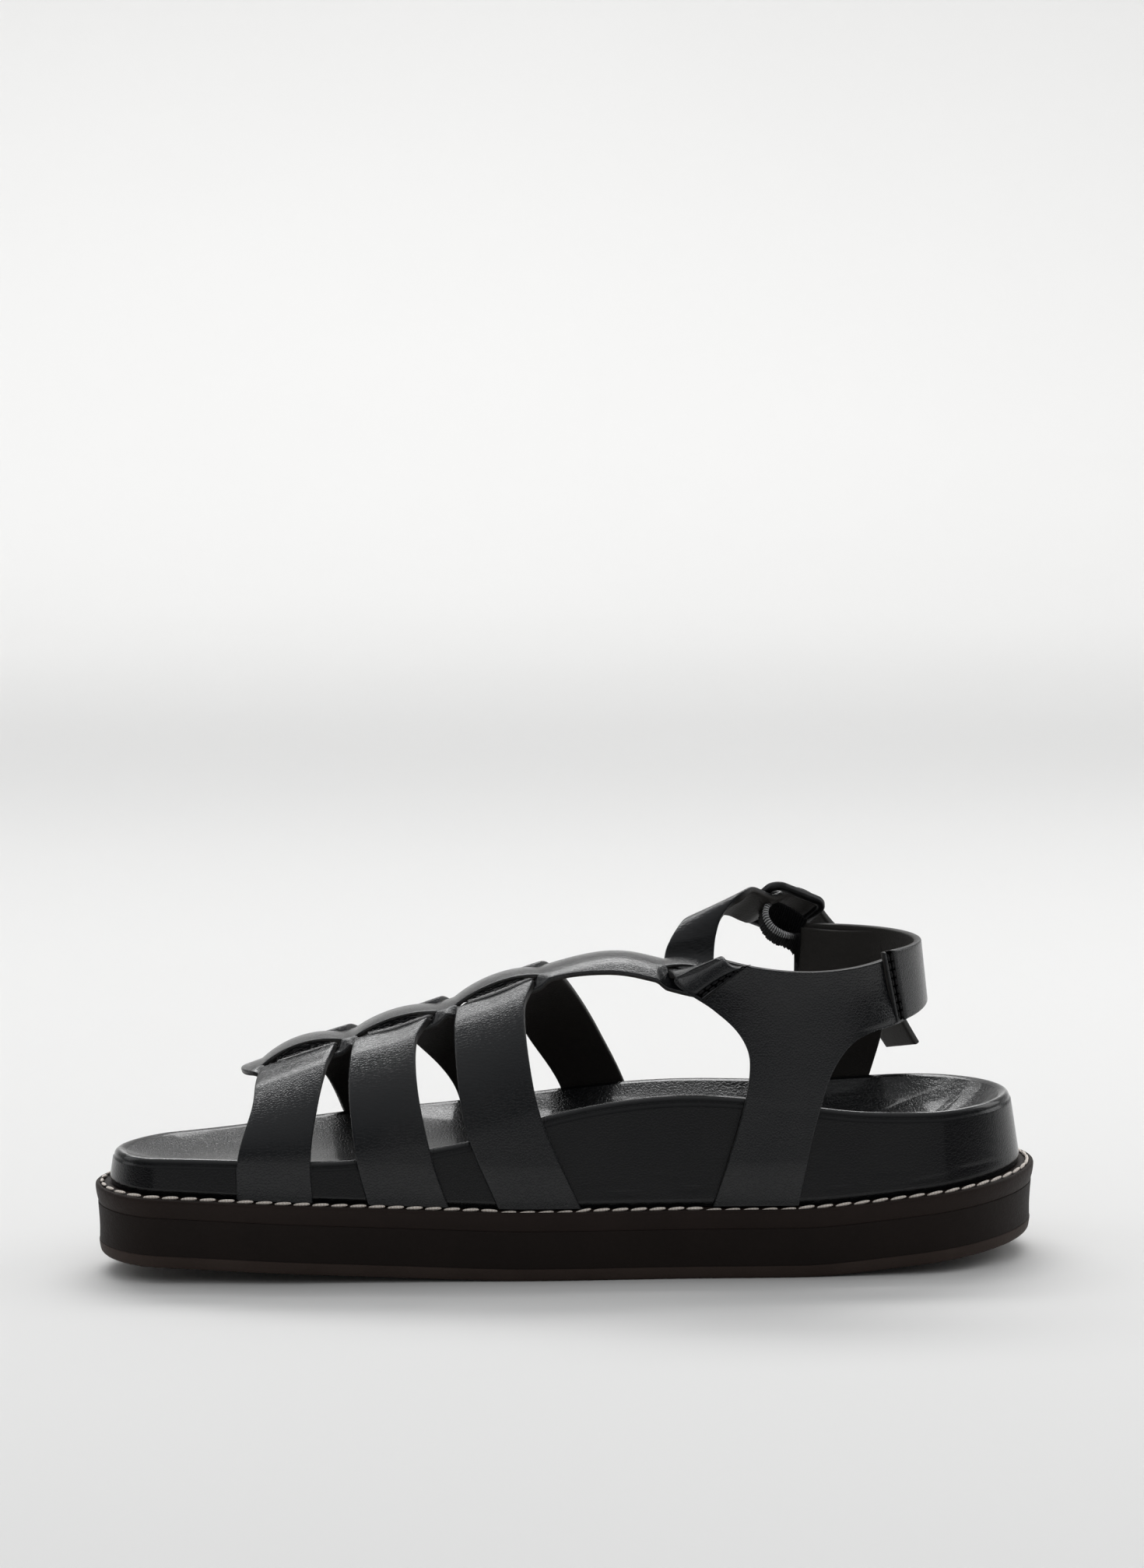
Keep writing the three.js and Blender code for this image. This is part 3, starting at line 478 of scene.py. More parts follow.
class Graph:
    """Node graph of one material or world."""

    def __init__(self, owner: bpy.types.Material | bpy.types.World) -> None:
        """Empties the owner's node tree and starts on it.

        Args:
            owner: the material or world.
        """
        owner.use_nodes = True
        self.tree = owner.node_tree
        self.tree.nodes.clear()

    def node(self, kind: str, settings: dict, inputs: dict, output: int | str = 0) -> Signal:
        """Adds a node.

        Args:
            kind: the node's type.
            settings: its properties, which are set first.
            inputs: values or signals by socket name or number.
            output: the output to return.

        Returns:
            The chosen output.
        """
        made = self.tree.nodes.new(kind)
        for key, value in settings.items():
            setattr(made, key, value)
        for key, value in inputs.items():
            if isinstance(value, Signal):
                self.tree.links.new(value.socket, made.inputs[key])
            else:
                made.inputs[key].default_value = value
        return Signal(self, made.outputs[output])

    def place(self) -> Signal:
        """Object coordinates, in metres."""
        return self.node("ShaderNodeTexCoord", {}, {}, "Object")

    def value(self, name: str) -> Signal:
        """A point value of the mesh."""
        return self.node("ShaderNodeAttribute", {"attribute_name": name}, {}, "Fac")

    def noise(self, size: float, detail: float = FINE_DETAIL, stretch: Triple = (1.0, 1.0, 1.0)) -> Signal:
        """Soft noise.

        Args:
            size: rough size of its features in millimetres.
            detail: how many finer layers it has.
            stretch: factor on each axis, below 1 for longer features.

        Returns:
            The noise, about 0.5 in the middle.
        """
        place = self.node("ShaderNodeMapping", {}, {"Vector": self.place(), "Scale": stretch})
        inputs = {"Vector": place, "Scale": 1 / (size * MM), "Detail": detail}
        return self.node("ShaderNodeTexNoise", {}, inputs)

    def cells(self, size: float) -> Signal:
        """Distance to the borders of cells about size millimetres across."""
        inputs = {"Vector": self.place(), "Scale": 1 / (size * MM)}
        return self.node("ShaderNodeTexVoronoi", {"feature": "DISTANCE_TO_EDGE"}, inputs, "Distance")

    def mix(self, share: Signal, first: Signal | Colour, second: Signal | Colour) -> Signal:
        """Mix of two colours."""
        return self.node("ShaderNodeMix", {"data_type": "RGBA"}, {0: share, 6: first, 7: second}, 2)

    def bump(self, height: Signal, depth: float) -> Signal:
        """Normal bent by a height whose unit is depth millimetres."""
        return self.node("ShaderNodeBump", {}, {"Distance": depth * MM, "Height": height, "Strength": 1.0})

    def surface(self, pit: Signal | None = None, **inputs: Signal | float | Colour) -> None:
        """Ends the graph in a Principled shader; words in an input's name are joined by underscores.

        Args:
            pit: share of a lightless matt shader, for the bottom of seams.
            inputs: the shader's values.
        """
        named = {key.replace("_", " "): value for key, value in inputs.items()}
        shader = self.node("ShaderNodeBsdfPrincipled", {}, named)
        # Painted shade: the black shader is mixed in by the given share.
        if pit is not None:
            shade_shader = self.node("ShaderNodeBsdfPrincipled", {}, PAINTED_SHADE_SHADER)
            shader = self.node("ShaderNodeMixShader", {}, {0: pit, 1: shader, 2: shade_shader})
        self.node_output("ShaderNodeOutputMaterial", shader)

    def node_output(self, kind: str, shader: Signal) -> None:
        """Links a shader to an output node."""
        made = self.tree.nodes.new(kind)
        self.tree.links.new(shader.socket, made.inputs["Surface"])


@dataclass(frozen=True)
class Finish:
    """A named finish with two colours, plain until a kind of finish shades it in its own way."""

    name: str
    colour: Colour
    second: Colour
    roughness: float

    def shade(self, graph: Graph) -> None:
        """Fills the material's graph."""
        graph.surface(Base_Color=self.colour, Roughness=self.roughness)

    @cache
    def material(self) -> bpy.types.Material:
        """Makes the material when it is first asked for.

        Returns:
            The material, the same one each time.
        """
        material = bpy.data.materials.new(self.name)
        self.shade(Graph(material))
        return material


@dataclass(frozen=True)
class Leather(Finish):
    """Dyed leather: pebble grain, broad wear, and a matt flesh side where the lining value is 1."""

    flesh: Colour
    grain: float
    depth: float
    coat: float
    wrinkle: float
    gloss: float
    sheen: float = 0.0
    pebble_edge: float = 0.2
    pebble_height: float = 0.8
    fine_share: float = 0.5
    fine_height: float = 0.9
    wear_size: float = 24.0
    wear: Pair = (0.35, 0.75)
    wrinkle_size: float = 3.2
    wrinkle_stretch: Triple = (0.45, 1.0, 1.0)
    bunched_wrinkle: float = 6.5
    gather_pitch: float = 0.95
    gather_height: float = 2.2
    worn_rough: float = 0.16
    fine_rough: float = 0.1
    flesh_rough: float = 0.3
    cut_rough: float = 0.12
    cut_coat: float = 2.0
    coat_roughness: float = 0.1
    sheen_roughness: float = 0.35

    def shade(self, graph: Graph) -> None:
        """Cell borders, fine noise, wrinkles and gathers as bump; broad noise as wear.

        Args:
            graph: the material's graph.
        """
        pebble = graph.cells(self.grain).step(0.0, self.pebble_edge)
        fine = graph.noise(self.grain * self.fine_share)
        broad = graph.noise(self.wear_size)
        wrinkles = graph.noise(self.wrinkle_size, SOFT_DETAIL, self.wrinkle_stretch)
        lining, cut, bunched = (graph.value(name) for name in ("lining", "edge", "gather"))
        gather = (graph.value("along") * (2 * math.pi / self.gather_pitch)).sine() * bunched
        height = pebble * self.pebble_height + fine * self.fine_height
        height = height + wrinkles * (self.wrinkle + bunched * self.bunched_wrinkle)
        rough = self.roughness + broad.centred() * self.worn_rough + fine.centred() * self.fine_rough
        skin = graph.mix(broad.step(*self.wear), self.colour, self.second)
        # Seam troughs get painted shade: the black shader, mixed in by the pit value.
        graph.surface(
            graph.value("pit"),
            Base_Color=graph.mix(lining, skin, self.flesh),
            Roughness=rough + lining * self.flesh_rough + cut * self.cut_rough,
            Coat_Weight=self.coat - (lining + cut * self.cut_coat) * self.coat,
            Coat_Roughness=self.coat_roughness,
            Specular_IOR_Level=self.gloss,
            Sheen_Weight=self.sheen,
            Sheen_Roughness=self.sheen_roughness,
            Normal=graph.bump(height + gather * self.gather_height, self.depth),
        )


@dataclass(frozen=True)
class Rubber(Finish):
    """Moulded rubber or crepe: a fine speckle, a broad mottle and a low micro bump."""

    gloss: float = 0.16
    mottle_size: float = 16.0
    speckle_size: float = 0.7
    speckle_share: float = 0.3
    mottle: Pair = (0.3, 0.7)
    drag_size: float = 2.4
    drag_stretch: Triple = (0.25, 1.0, 1.0)
    drag_height: float = 0.8
    depth: float = 0.1
    speckle_rough: float = 0.22
    mottle_rough: float = 0.1

    def shade(self, graph: Graph) -> None:
        """Speckle and mottle as colour and roughness; speckle and drawn-out drag marks as bump.

        Args:
            graph: the material's graph.
        """
        broad = graph.noise(self.mottle_size)
        speckle = graph.noise(self.speckle_size)
        drag = graph.noise(self.drag_size, SOFT_DETAIL, self.drag_stretch)
        mottled = broad * (1 - self.speckle_share) + speckle * self.speckle_share
        rough = self.roughness + speckle.centred() * self.speckle_rough
        graph.surface(
            Base_Color=graph.mix(mottled.step(*self.mottle), self.colour, self.second),
            Roughness=rough + broad.centred() * self.mottle_rough,
            Specular_IOR_Level=self.gloss,
            Normal=graph.bump(speckle + drag * self.drag_height, self.depth),
        )


@dataclass(frozen=True)
class Thread(Finish):
    """Twisted thread: slanting ply lines along each stitch."""

    gloss: float = 0.5
    fibre_size: float = 0.5
    fibre_share: float = 0.4
    fibre_rough: float = 0.2
    ply_turns: float = 7.0
    ply_wander: float = 3.0
    ply_depth: float = 0.12

    def shade(self, graph: Graph) -> None:
        """Ply lines, a sine that wanders with the fibres, as bump and as painted shade in colour.

        Args:
            graph: the material's graph.
        """
        fibre = graph.noise(self.fibre_size)
        ply = (graph.value("along") * self.ply_turns + fibre * self.ply_wander).sine() * 0.5 + 0.5
        # Painted shade in the twist's grooves, painted light on its crowns; fibre noise is real tone.
        light = ply * (1 - self.fibre_share) + fibre * self.fibre_share
        graph.surface(
            Base_Color=graph.mix(light, self.second, self.colour),
            Roughness=self.roughness + fibre.centred() * self.fibre_rough,
            Specular_IOR_Level=self.gloss,
            Normal=graph.bump(ply, self.ply_depth),
        )


@dataclass(frozen=True)
class Webbing(Finish):
    """Ribbed elastic: matt yarn, with a painted highlight on the ribs."""

    gloss: float = 0.12
    yarn_size: float = 0.35
    yarn_edge: float = 0.3
    yarn_rough: float = 0.1
    yarn_depth: float = 0.2

    def shade(self, graph: Graph) -> None:
        """Yarn cells as bump; the near-white second colour is painted on the ribs as a highlight.

        Args:
            graph: the material's graph.
        """
        yarn = graph.cells(self.yarn_size).step(0.0, self.yarn_edge)
        # Painted highlight: the gather value mixes the near-white second colour onto the lit ribs.
        graph.surface(
            Base_Color=graph.mix(graph.value("gather"), self.colour, self.second),
            Roughness=self.roughness + yarn * self.yarn_rough,
            Specular_IOR_Level=self.gloss,
            Normal=graph.bump(yarn, self.yarn_depth),
        )


@dataclass(frozen=True)
class Metal(Finish):
    """Black lacquered metal with fine rubbing."""

    metallic: float = 0.65
    rub_size: float = 5.0
    rubbed: Pair = (0.45, 0.8)
    rub_rough: float = 0.2
    fine_size: float = 0.4
    fine_depth: float = 0.03

    def shade(self, graph: Graph) -> None:
        """Broad noise as rubbed lacquer and fine noise as bump.

        Args:
            graph: the material's graph.
        """
        broad = graph.noise(self.rub_size)
        graph.surface(
            Base_Color=graph.mix(broad.step(*self.rubbed), self.colour, self.second),
            Metallic=self.metallic,
            Roughness=self.roughness + broad.centred() * self.rub_rough,
            Normal=graph.bump(graph.noise(self.fine_size, SOFT_DETAIL), self.fine_depth),
        )


@dataclass(frozen=True)
class Paper(Finish):
    """Matt studio paper with a very broad, faint unevenness."""

    patch_size: float = 400.0

    def shade(self, graph: Graph) -> None:
        """Broad noise between the two colours."""
        patches = graph.noise(self.patch_size, SOFT_DETAIL)
        graph.surface(Base_Color=graph.mix(patches, self.second, self.colour), Roughness=self.roughness)


class Shell:
    """Points, quads and point values of one piece, gathered patch by patch."""

    def __init__(self) -> None:
        """Starts an empty piece."""
        self.points: list[Array] = []
        self.quads: list[Array] = []
        self.values: dict[str, list[Array]] = {name: [] for name in POINT_VALUES}
        self.count = 0

    def add(self, points: Array, **values: Array | float) -> Array:
        """Adds a grid of points.

        Args:
            points: the grid.
            values: point values by name, 0 where they aren't given.

        Returns:
            The points' indices in the same layout.
        """
        shape = points.shape[:-1]
        for name in POINT_VALUES:
            self.values[name].append(np.broadcast_to(values.get(name, 0.0), shape).ravel())
        self.points.append(points.reshape(-1, 3))
        index = np.arange(self.count, self.count + int(np.prod(shape))).reshape(shape)
        self.count += index.size
        return index

    def skin(self, index: Array, keep: Array | None = None) -> None:
        """Adds the quads between neighbouring points of an index grid.

        Args:
            index: the grid, whose last two axes are rows and columns.
            keep: quads to keep, all of them where it isn't given.
        """
        corners = (index[..., :-1, :-1], index[..., 1:, :-1], index[..., 1:, 1:], index[..., :-1, 1:])
        quads = np.stack(corners, -1)
        self.quads.append(quads[keep] if keep is not None else quads.reshape(-1, 4))

    def tube(self, points: Array, **values: Array | float) -> None:
        """Adds a grid of points whose lines close into rings."""
        index = self.add(points, **values)
        self.skin(np.concatenate([index, index[:1]]))

    def patch(self, points: Array, **values: Array | float) -> None:
        """Adds a grid of points with its quads."""
        self.skin(self.add(points, **values))

    def build(self, name: str, finish: Finish) -> bpy.types.Object:
        """Makes the object: welds the seams and poles and turns the faces outwards.

        Args:
            name: the piece's name.
            finish: its finish.

        Returns:
            The new object.
        """
        mesh = bpy.data.meshes.new(name)
        points = np.concatenate(self.points) * MM
        mesh.from_pydata(points.tolist(), [], np.concatenate(self.quads).tolist())
        for key, parts in self.values.items():
            attribute = mesh.attributes.new(key, "FLOAT", "POINT")
            attribute.data.foreach_set("value", np.concatenate(parts).astype(np.float32))
        work = bmesh.new()
        work.from_mesh(mesh)
        bmesh.ops.remove_doubles(work, verts=work.verts, dist=WELD)
        bmesh.ops.recalc_face_normals(work, faces=work.faces)
        work.to_mesh(mesh)
        work.free()
        mesh.shade_smooth()
        mesh.set_sharp_from_angle(angle=SHARP_ANGLE)
        mesh.materials.append(finish.material())
        piece = bpy.data.objects.new(name, mesh)
        bpy.context.scene.collection.objects.link(piece)
        return piece

    def dress(self, name: str, finish: Finish, slot: str, *nodes: str) -> None:
        """Makes the object, fixes it to the shoe and hides the solids that it stands for.

        Args:
            name: the piece's name.
            finish: its finish.
            slot: the record's material slot; not used.
            nodes: the solids that it stands for.
        """
        piece = self.build(name, finish)
        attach(piece, BODY)
        if nodes:
            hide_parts(*nodes)
        LOG.info("%s: %d faces, stands for %s", name, len(piece.data.polygons), nodes or "no solid")


@dataclass
class Sheet:
    """Leather on a grid of points, raised along the outward normals, with rounded cut edges.

    The upper skin lies at offset + thickness and the lower one at offset; both draw together by the edge
    drop near a cut border, and the upper one is lowered where it is sunk. The normals face away from the
    shoe's heart, a point heart_up above the sole.
    """

    form: FootForm
    points: Array
    offset: Array | float
    thickness: Array | float
    borders: Border
    rounding: float = ROUNDING
    sunk: Array | float = 0.0
    gather: Array | float = 0.0
    pit_depths: Pair = (0.32, 0.62)
    heart_up: float = 15.0
    cut_share: float = 0.2

    def __post_init__(self) -> None:
        """Works out the normals, the distances to the borders and both skins."""
        points = self.points
        normals = unit(np.cross(np.gradient(points, axis=0), np.gradient(points, axis=1)))
        middle = tuple(n // 2 for n in points.shape[:2])
        heart = np.array([points[middle][0], -self.form.centre_y, self.form.sole_thickness + self.heart_up])
        self.normals = normals * np.sign(normals[middle] @ (points[middle] - heart))
        self.along = run(points, 0)
        across = run(points, 1)
        distances = {
            Border.START: self.along,
            Border.END: self.along[-1] - self.along,
            Border.LEFT: across,
            Border.RIGHT: across[:, -1:] - across,
        }
        nearest = np.full(points.shape[:2], np.inf)
        for border, distance in distances.items():
            nearest = np.minimum(nearest, distance) if border in self.borders else nearest
        lowered = edge_drop(nearest, self.rounding)
        rise = np.asarray(self.offset + self.thickness - lowered - self.sunk)
        self.top = points + self.normals * rise[..., None]
        self.bottom = points + self.normals * np.asarray(self.offset + lowered)[..., None]
        self.cut = (nearest < self.rounding * self.cut_share).astype(float)

    def shell(self) -> Shell:
        """Joins both skins by the cut edge between them.

        Returns:
            The sheet as a piece.
        """
        shell = Shell()
        shared = {"along": self.along, "edge": self.cut, "gather": self.gather}
        # The deepest part of a sunk seam trough is marked for painted shade.
        top = shell.add(self.top, pit=smoothstep(np.asarray(self.sunk), *self.pit_depths), **shared)
        bottom = shell.add(self.bottom, lining=1.0, **shared)
        shell.skin(top)
        shell.skin(bottom)
        for line in (np.s_[0], np.s_[-1], np.s_[:, 0], np.s_[:, -1]):
            shell.skin(np.stack([top[line], bottom[line]]))
        return shell

    def line_at(self, distance: float) -> tuple[Array, Array]:
        """Line on the upper skin at a distance from the sheet's first row.

        Args:
            distance: arc length from the first row.

        Returns:
            Points and normals of the line.
        """
        i = np.clip((self.along <= distance).sum(0) - 1, 0, len(self.along) - 2)
        column = np.arange(self.along.shape[1])
        low, high = self.along[i, column], self.along[i + 1, column]
        t = ((distance - low) / (high - low))[:, None]
        return self.top[i, column] * (1 - t) + self.top[i + 1, column] * t, self.normals[i, column]


@dataclass(frozen=True)
class StitchRow:
    """Row of thread stitches: lens-shaped capsules of a length and radius, a pitch apart."""

    pitch: float
    length: float
    radius: float
    lift: float
    slant: float = 0.0
    fullness: float = 0.8
    rings: int = 11
    ring_points: int = 9

    def add_to(self, shell: Shell, path: Array, normals: Array) -> None:
        """Lays stitches at even distances along a path.

        A stitch is a lens turned about the path: x = -cos(v) L/2, radius r sin(v)^fullness.

        Args:
            shell: piece to add them to.
            path: points of the path.
            normals: outward normals at the points.
        """
        lengths = run(path, 0)
        count = max(int(round(lengths[-1] / self.pitch)), 1)
        at = (np.arange(count) + 0.5) * lengths[-1] / count
        lines = (path, normals, np.gradient(path, axis=0))
        spot, out, along = (
            np.stack([np.interp(at, lengths, line[:, k]) for k in range(3)], -1) for line in lines)
        out, along = unit(out), unit(along)
        side = unit(np.cross(out, along))
        axes = np.stack([unit(along + self.slant * out), out, side], 1)
        v = np.linspace(0, np.pi, self.rings)[:, None]
        w = np.linspace(0, 2 * np.pi, self.ring_points)[None, :]
        thick = self.radius * np.sin(v) ** self.fullness
        lens = np.broadcast_arrays(-np.cos(v) * self.length / 2, thick * np.cos(w), thick * np.sin(w))
        shape = np.stack(lens, -1)
        points = (spot + out * self.lift)[:, None, None] + np.einsum("vwk,skx->svwx", shape, axes)
        shell.patch(points, along=shape[..., 0] + at[:, None, None])


@dataclass
class SoleUnit:
    """Rubber sole in three layers with a row of thread round the welt."""

    form: FootForm
    outsole_span: Pair = (0.0, 3.6)
    midsole_span: Pair = (3.64, 14.56)
    welt_span: Pair = (14.6, 20.2)
    outsole_rows: int = 10
    midsole_rows: int = 20
    welt_rows: int = 16
    rib_pitch: float = 4.4
    rib_depth: float = 0.9
    rib_flank: Pair = (0.35, 0.95)
    rib_sway: float = 1.6
    rib_sway_length: float = 22.0
    edge_depth: float = 0.35
    edge_fade: float = 0.08
    tread_columns: int = 60
    ledge_under: float = 1.5
    ledge_columns: int = 18
    channel_depth: float = 0.4
    channel_width: float = 0.7
    stitch_inset: float = 1.9
    buried: tuple[Window, ...] = ((70.0, 74.0, 98.0, 102.0), (132.0, 136.0, 157.0, 161.0))
    buried_depth: float = 0.5
    stitches: StitchRow = StitchRow(pitch=5.3, length=4.7, radius=0.52, lift=0.18, slant=-0.1)
    outsole_side: Table = Table("share inset", (0, 1.9), (0.12, 1.4), (0.3, 1.1), (0.92, 0.8), (1, 0.85))
    midsole_side: Table = Table(
        "share inset", (0, 0.95), (0.04, 0.95), (0.35, 1.0), (0.7, 0.85), (0.96, 0.65), (1, 0.65))
    welt_side: Table = Table(
        "share inset", (0, 0.8), (0.06, 0.7), (0.45, 0.2), (0.82, 0.0), (0.94, 0.2), (1, 0.75))
    outsole_rubber: Rubber = Rubber(
        "outsole rubber", (0.036, 0.0245, 0.02, 1), (0.048, 0.034, 0.0285, 1), roughness=0.62)
    midsole_rubber: Rubber = Rubber(
        "midsole rubber", (0.0088, 0.0052, 0.0039, 1), (0.0122, 0.0076, 0.006, 1), roughness=0.6)
    welt_rubber: Rubber = Rubber(
        "welt rubber", (0.0135, 0.0078, 0.006, 1), (0.0185, 0.0114, 0.0092, 1), roughness=0.55)
    # The thread's second colour is painted shade in the grooves of its twist.
    welt_thread: Thread = Thread("welt thread", (1.0, 0.94, 0.87, 1), (0.72, 0.62, 0.54, 1), roughness=0.62)

    def tread(self, points: Array) -> Array:
        """Height of the tread's grooves: swaying cross ribs, flat on their crowns.

        Args:
            points: points of the underside.

        Returns:
            How far the underside is raised at them.
        """
        u = self.form.length / 2 - points[..., 0]
        sway = self.rib_sway * np.sin(2 * np.pi * points[..., 1] / self.rib_sway_length)
        wave = 0.5 - 0.5 * np.cos(2 * np.pi * (u + sway) / self.rib_pitch)
        return self.rib_depth * smoothstep(wave, *self.rib_flank)

    def layer(self, span: Pair, side: Table, rows: int) -> Array:
        """Side of a layer: its table's insets from bottom to top, carried round the outline."""
        share = eased(rows)
        return self.form.ring(side("inset", share), span[0] + (span[1] - span[0]) * share)

    def block(self, rings: Array) -> Shell:
        """Closes a layer's rings with a lid below and above.

        Args:
            rings: the layer's side.

        Returns:
            The layer as a piece.
        """
        shell = Shell()
        shell.tube(rings)
        for line in (0, -1):
            shell.patch(self.form.rungs(rings[:, line]))
        return shell

    def outsole(self) -> None:
        """Builds the outsole with its ribbed tread, which is shallower at the edge."""
        side = self.layer(self.outsole_span, self.outsole_side, self.outsole_rows)
        under = self.form.rungs(side[:, 0], self.tread_columns)
        across = np.linspace(0, 1, self.tread_columns)
        inner = smoothstep(np.minimum(across, 1 - across), 0, self.edge_fade)
        under[..., 2] += (self.edge_depth + (1 - self.edge_depth) * inner) * self.tread(under)
        side[:, 0, 2] += self.edge_depth * self.tread(side[:, 0])
        shell = Shell()
        shell.tube(side)
        shell.patch(under)
        shell.patch(self.form.rungs(side[:, -1]))
        shell.dress("outsole_tread", self.outsole_rubber, "outsole_rubber", "outsole")

    def midsole(self) -> None:
        """Builds the middle layer."""
        side = self.layer(self.midsole_span, self.midsole_side, self.midsole_rows)
        self.block(side).dress("midsole_block", self.midsole_rubber, "midsole_rubber", "midsole")

    def welt(self) -> None:
        """Builds the welt: its side and a ledge with a shallow Gaussian channel for the stitches."""
        side = self.layer(self.welt_span, self.welt_side, self.welt_rows)
        edge = self.welt_side.columns["inset"][-1]
        inset = np.linspace(edge, self.form.margin + self.ledge_under, self.ledge_columns)
        channel = self.channel_depth * np.exp(-(((inset - self.stitch_inset) / self.channel_width) ** 2))
        ledge = self.form.ring(inset, self.welt_span[1] - channel)
        rings = np.concatenate([side, ledge[:, 1:]], 1)
        self.block(rings).dress("welt_strip", self.welt_rubber, "welt_rubber", "welt")

    def thread(self) -> None:
        """Builds the row of stitches on the welt, which sinks where straps are tucked in."""
        medial = self.form.ring_sign < 0
        sunk = sum(window(self.form.ring_u, *span) for span in self.buried)
        height = self.welt_span[1] - self.buried_depth * sunk * medial
        path = self.form.ring(np.full(1, self.stitch_inset), height[:, None])[:, 0]
        path = np.concatenate([path, path[:1]])
        shell = Shell()
        self.stitches.add_to(shell, path, np.broadcast_to([0.0, 0.0, 1.0], path.shape))
        shell.dress("welt_stitches", self.welt_thread, "welt_rubber")

    def build(self) -> None:
        """Builds and dresses the sole from the floor up."""
        self.outsole()
        self.midsole()
        self.welt()
        self.thread()


@dataclass
class FootbedUnit:
    """Leather-wrapped footbed with a rounded rim, and the insole in its dish."""

    form: FootForm
    foot_inset: float = 0.6
    tuck_height: float = 2.2
    crown_drop: float = 2.4
    crown_inset: float = 1.4
    fall_power: float = 1.6
    bead_polish: float = 1.2
    wall_rows: int = 34
    crown_rows: int = 10
    fall_rows: int = 8
    insole_rows: int = 64
    insole_thickness: float = 1.8
    insole_edge: float = 0.999
    insole_spread: float = 0.9
    hollow_drop: float = 2.7
    hollow_shares: tuple[float, ...] = (0.9995, 0.9, 0.7, 0.4, 0.0)
    gathers: Window = (112.0, 128.0, 190.0, 206.0)
    crease_fade: Pair = (0.8, 0.97)
    crazed: Pair = (50.0, 95.0)
    wall_creases: Table = Table(
        "u up length slope depth width",
        (18, 5.0, 7, 0.05, 0.1, 0.55), (34, 4.0, 9, -0.04, 0.13, 0.6), (47, 7.5, 7, 0.08, 0.1, 0.5),
        (60, 4.6, 8, 0.03, 0.13, 0.55), (101, 5.4, 8, -0.05, 0.15, 0.55), (109, 9.2, 6, 0.1, 0.1, 0.5),
        (121, 4.2, 9, 0.02, 0.15, 0.6), (131, 7.4, 6, -0.09, 0.1, 0.5))
    seat_creases: Table = Table(
        "u y turn length depth width",
        (22, -6, 20, 12, 0.35, 1.0), (28, 8, -35, 13, 0.3, 0.9), (34, -15, 48, 11, 0.4, 1.0),
        (39, 1, 12, 15, 0.3, 1.1), (46, -10, 32, 14, 0.35, 1.0), (51, 12, -22, 13, 0.3, 1.0),
        (58, -18, 60, 10, 0.4, 0.9), (64, -2, 25, 14, 0.3, 1.1), (72, 9, -40, 12, 0.28, 1.0))
    wrap_leather: Leather = Leather(
        "footbed leather", (0.003, 0.0034, 0.0041, 1), (0.0052, 0.0054, 0.006, 1), roughness=0.23,
        flesh=(0.03, 0.027, 0.024, 1), grain=0.9, depth=0.035, coat=0.26, wrinkle=0.4, gloss=0.2)
    cover_leather: Leather = Leather(
        "insole leather", (0.005, 0.0054, 0.0062, 1), (0.009, 0.0092, 0.0098, 1), roughness=0.31,
        flesh=(0.03, 0.027, 0.024, 1), grain=1.1, depth=0.1, coat=0.3, wrinkle=1.4, gloss=0.27, sheen=0.03)

    def crease_wall(self, u: Array, up: Array) -> Array:
        """Depth of the wall's creases: Gaussian troughs, long along the foot and narrow upwards.

        Args:
            u: distances from the heel.
            up: heights above the welt.

        Returns:
            Depth of the troughs.
        """
        row = self.wall_creases.stacked()
        over = (up - row["up"] - row["slope"] * (u - row["u"])) / row["width"]
        return troughs(row["depth"], (u - row["u"]) / row["length"], over)

    def crease_seat(self, u: Array, y: Array) -> Array:
        """Depth of the insole's creases: Gaussian troughs, each turned by its own angle.

        Args:
            u: distances from the heel.
            y: places across the foot.

        Returns:
            Depth of the troughs.
        """
        row = self.seat_creases.stacked()
        cos, sin = np.cos(np.radians(row["turn"])), np.sin(np.radians(row["turn"]))
        along = ((u - row["u"]) * cos + (y - row["y"]) * sin) / row["length"]
        over = ((y - row["y"]) * cos - (u - row["u"]) * sin) / row["width"]
        return troughs(row["depth"], along, over)

    def footbed(self) -> None:
        """Builds the wall, the rim's half-round bead and the hollow under the insole."""
        form = self.form
        rise = form.sided(form.rim, form.ring_u, form.ring_sign)[:, None]
        up = (rise - self.crown_drop) * np.linspace(0, 1, self.wall_rows)
        tuck = self.foot_inset * (1 - smoothstep(up, 0.0, self.tuck_height))
        inset = form.margin + form.lean * up + tuck + self.crease_wall(form.ring_u[:, None], up)
        wall = form.ring(inset, form.sole_thickness + np.maximum(up, form.gap))
        turn = np.linspace(0, np.pi / 2, self.crown_rows + 1)[1:]
        fall = np.linspace(0, 1, self.fall_rows + 1)[1:]
        inner = self.crown_inset + (form.bead - self.crown_inset) * fall
        drop = np.concatenate([self.crown_drop * (1 - np.sin(turn)), form.inner_drop * fall**self.fall_power])
        into = np.concatenate([self.crown_inset * (1 - np.cos(turn)), inner])
        bead = form.ring(form.margin + form.lean * rise + into, form.sole_thickness + rise - drop)
        hollow = form.dish(np.array(self.hollow_shares), self.hollow_drop)
        crown = np.sin(np.linspace(0, np.pi, bead.shape[1] + 1))[1:] ** 2
        crown = np.pad(crown, (wall.shape[1], hollow.shape[1]))
        gather = window(form.ring_u, *self.gathers)[:, None] * crown
        along = run(form.place(form.outline_ring[:, 0], form.outline_ring[:, 1], 0.0), 0)[:, None]
        points = np.concatenate([wall, bead, hollow], 1)
        shell = Shell()
        shell.tube(points, along=along, gather=gather, edge=-self.bead_polish * crown**2)
        shell.patch(form.rungs(wall[:, 0]))
        shell.dress("footbed_wrap", self.wrap_leather, "footbed_wrap", "footbed")

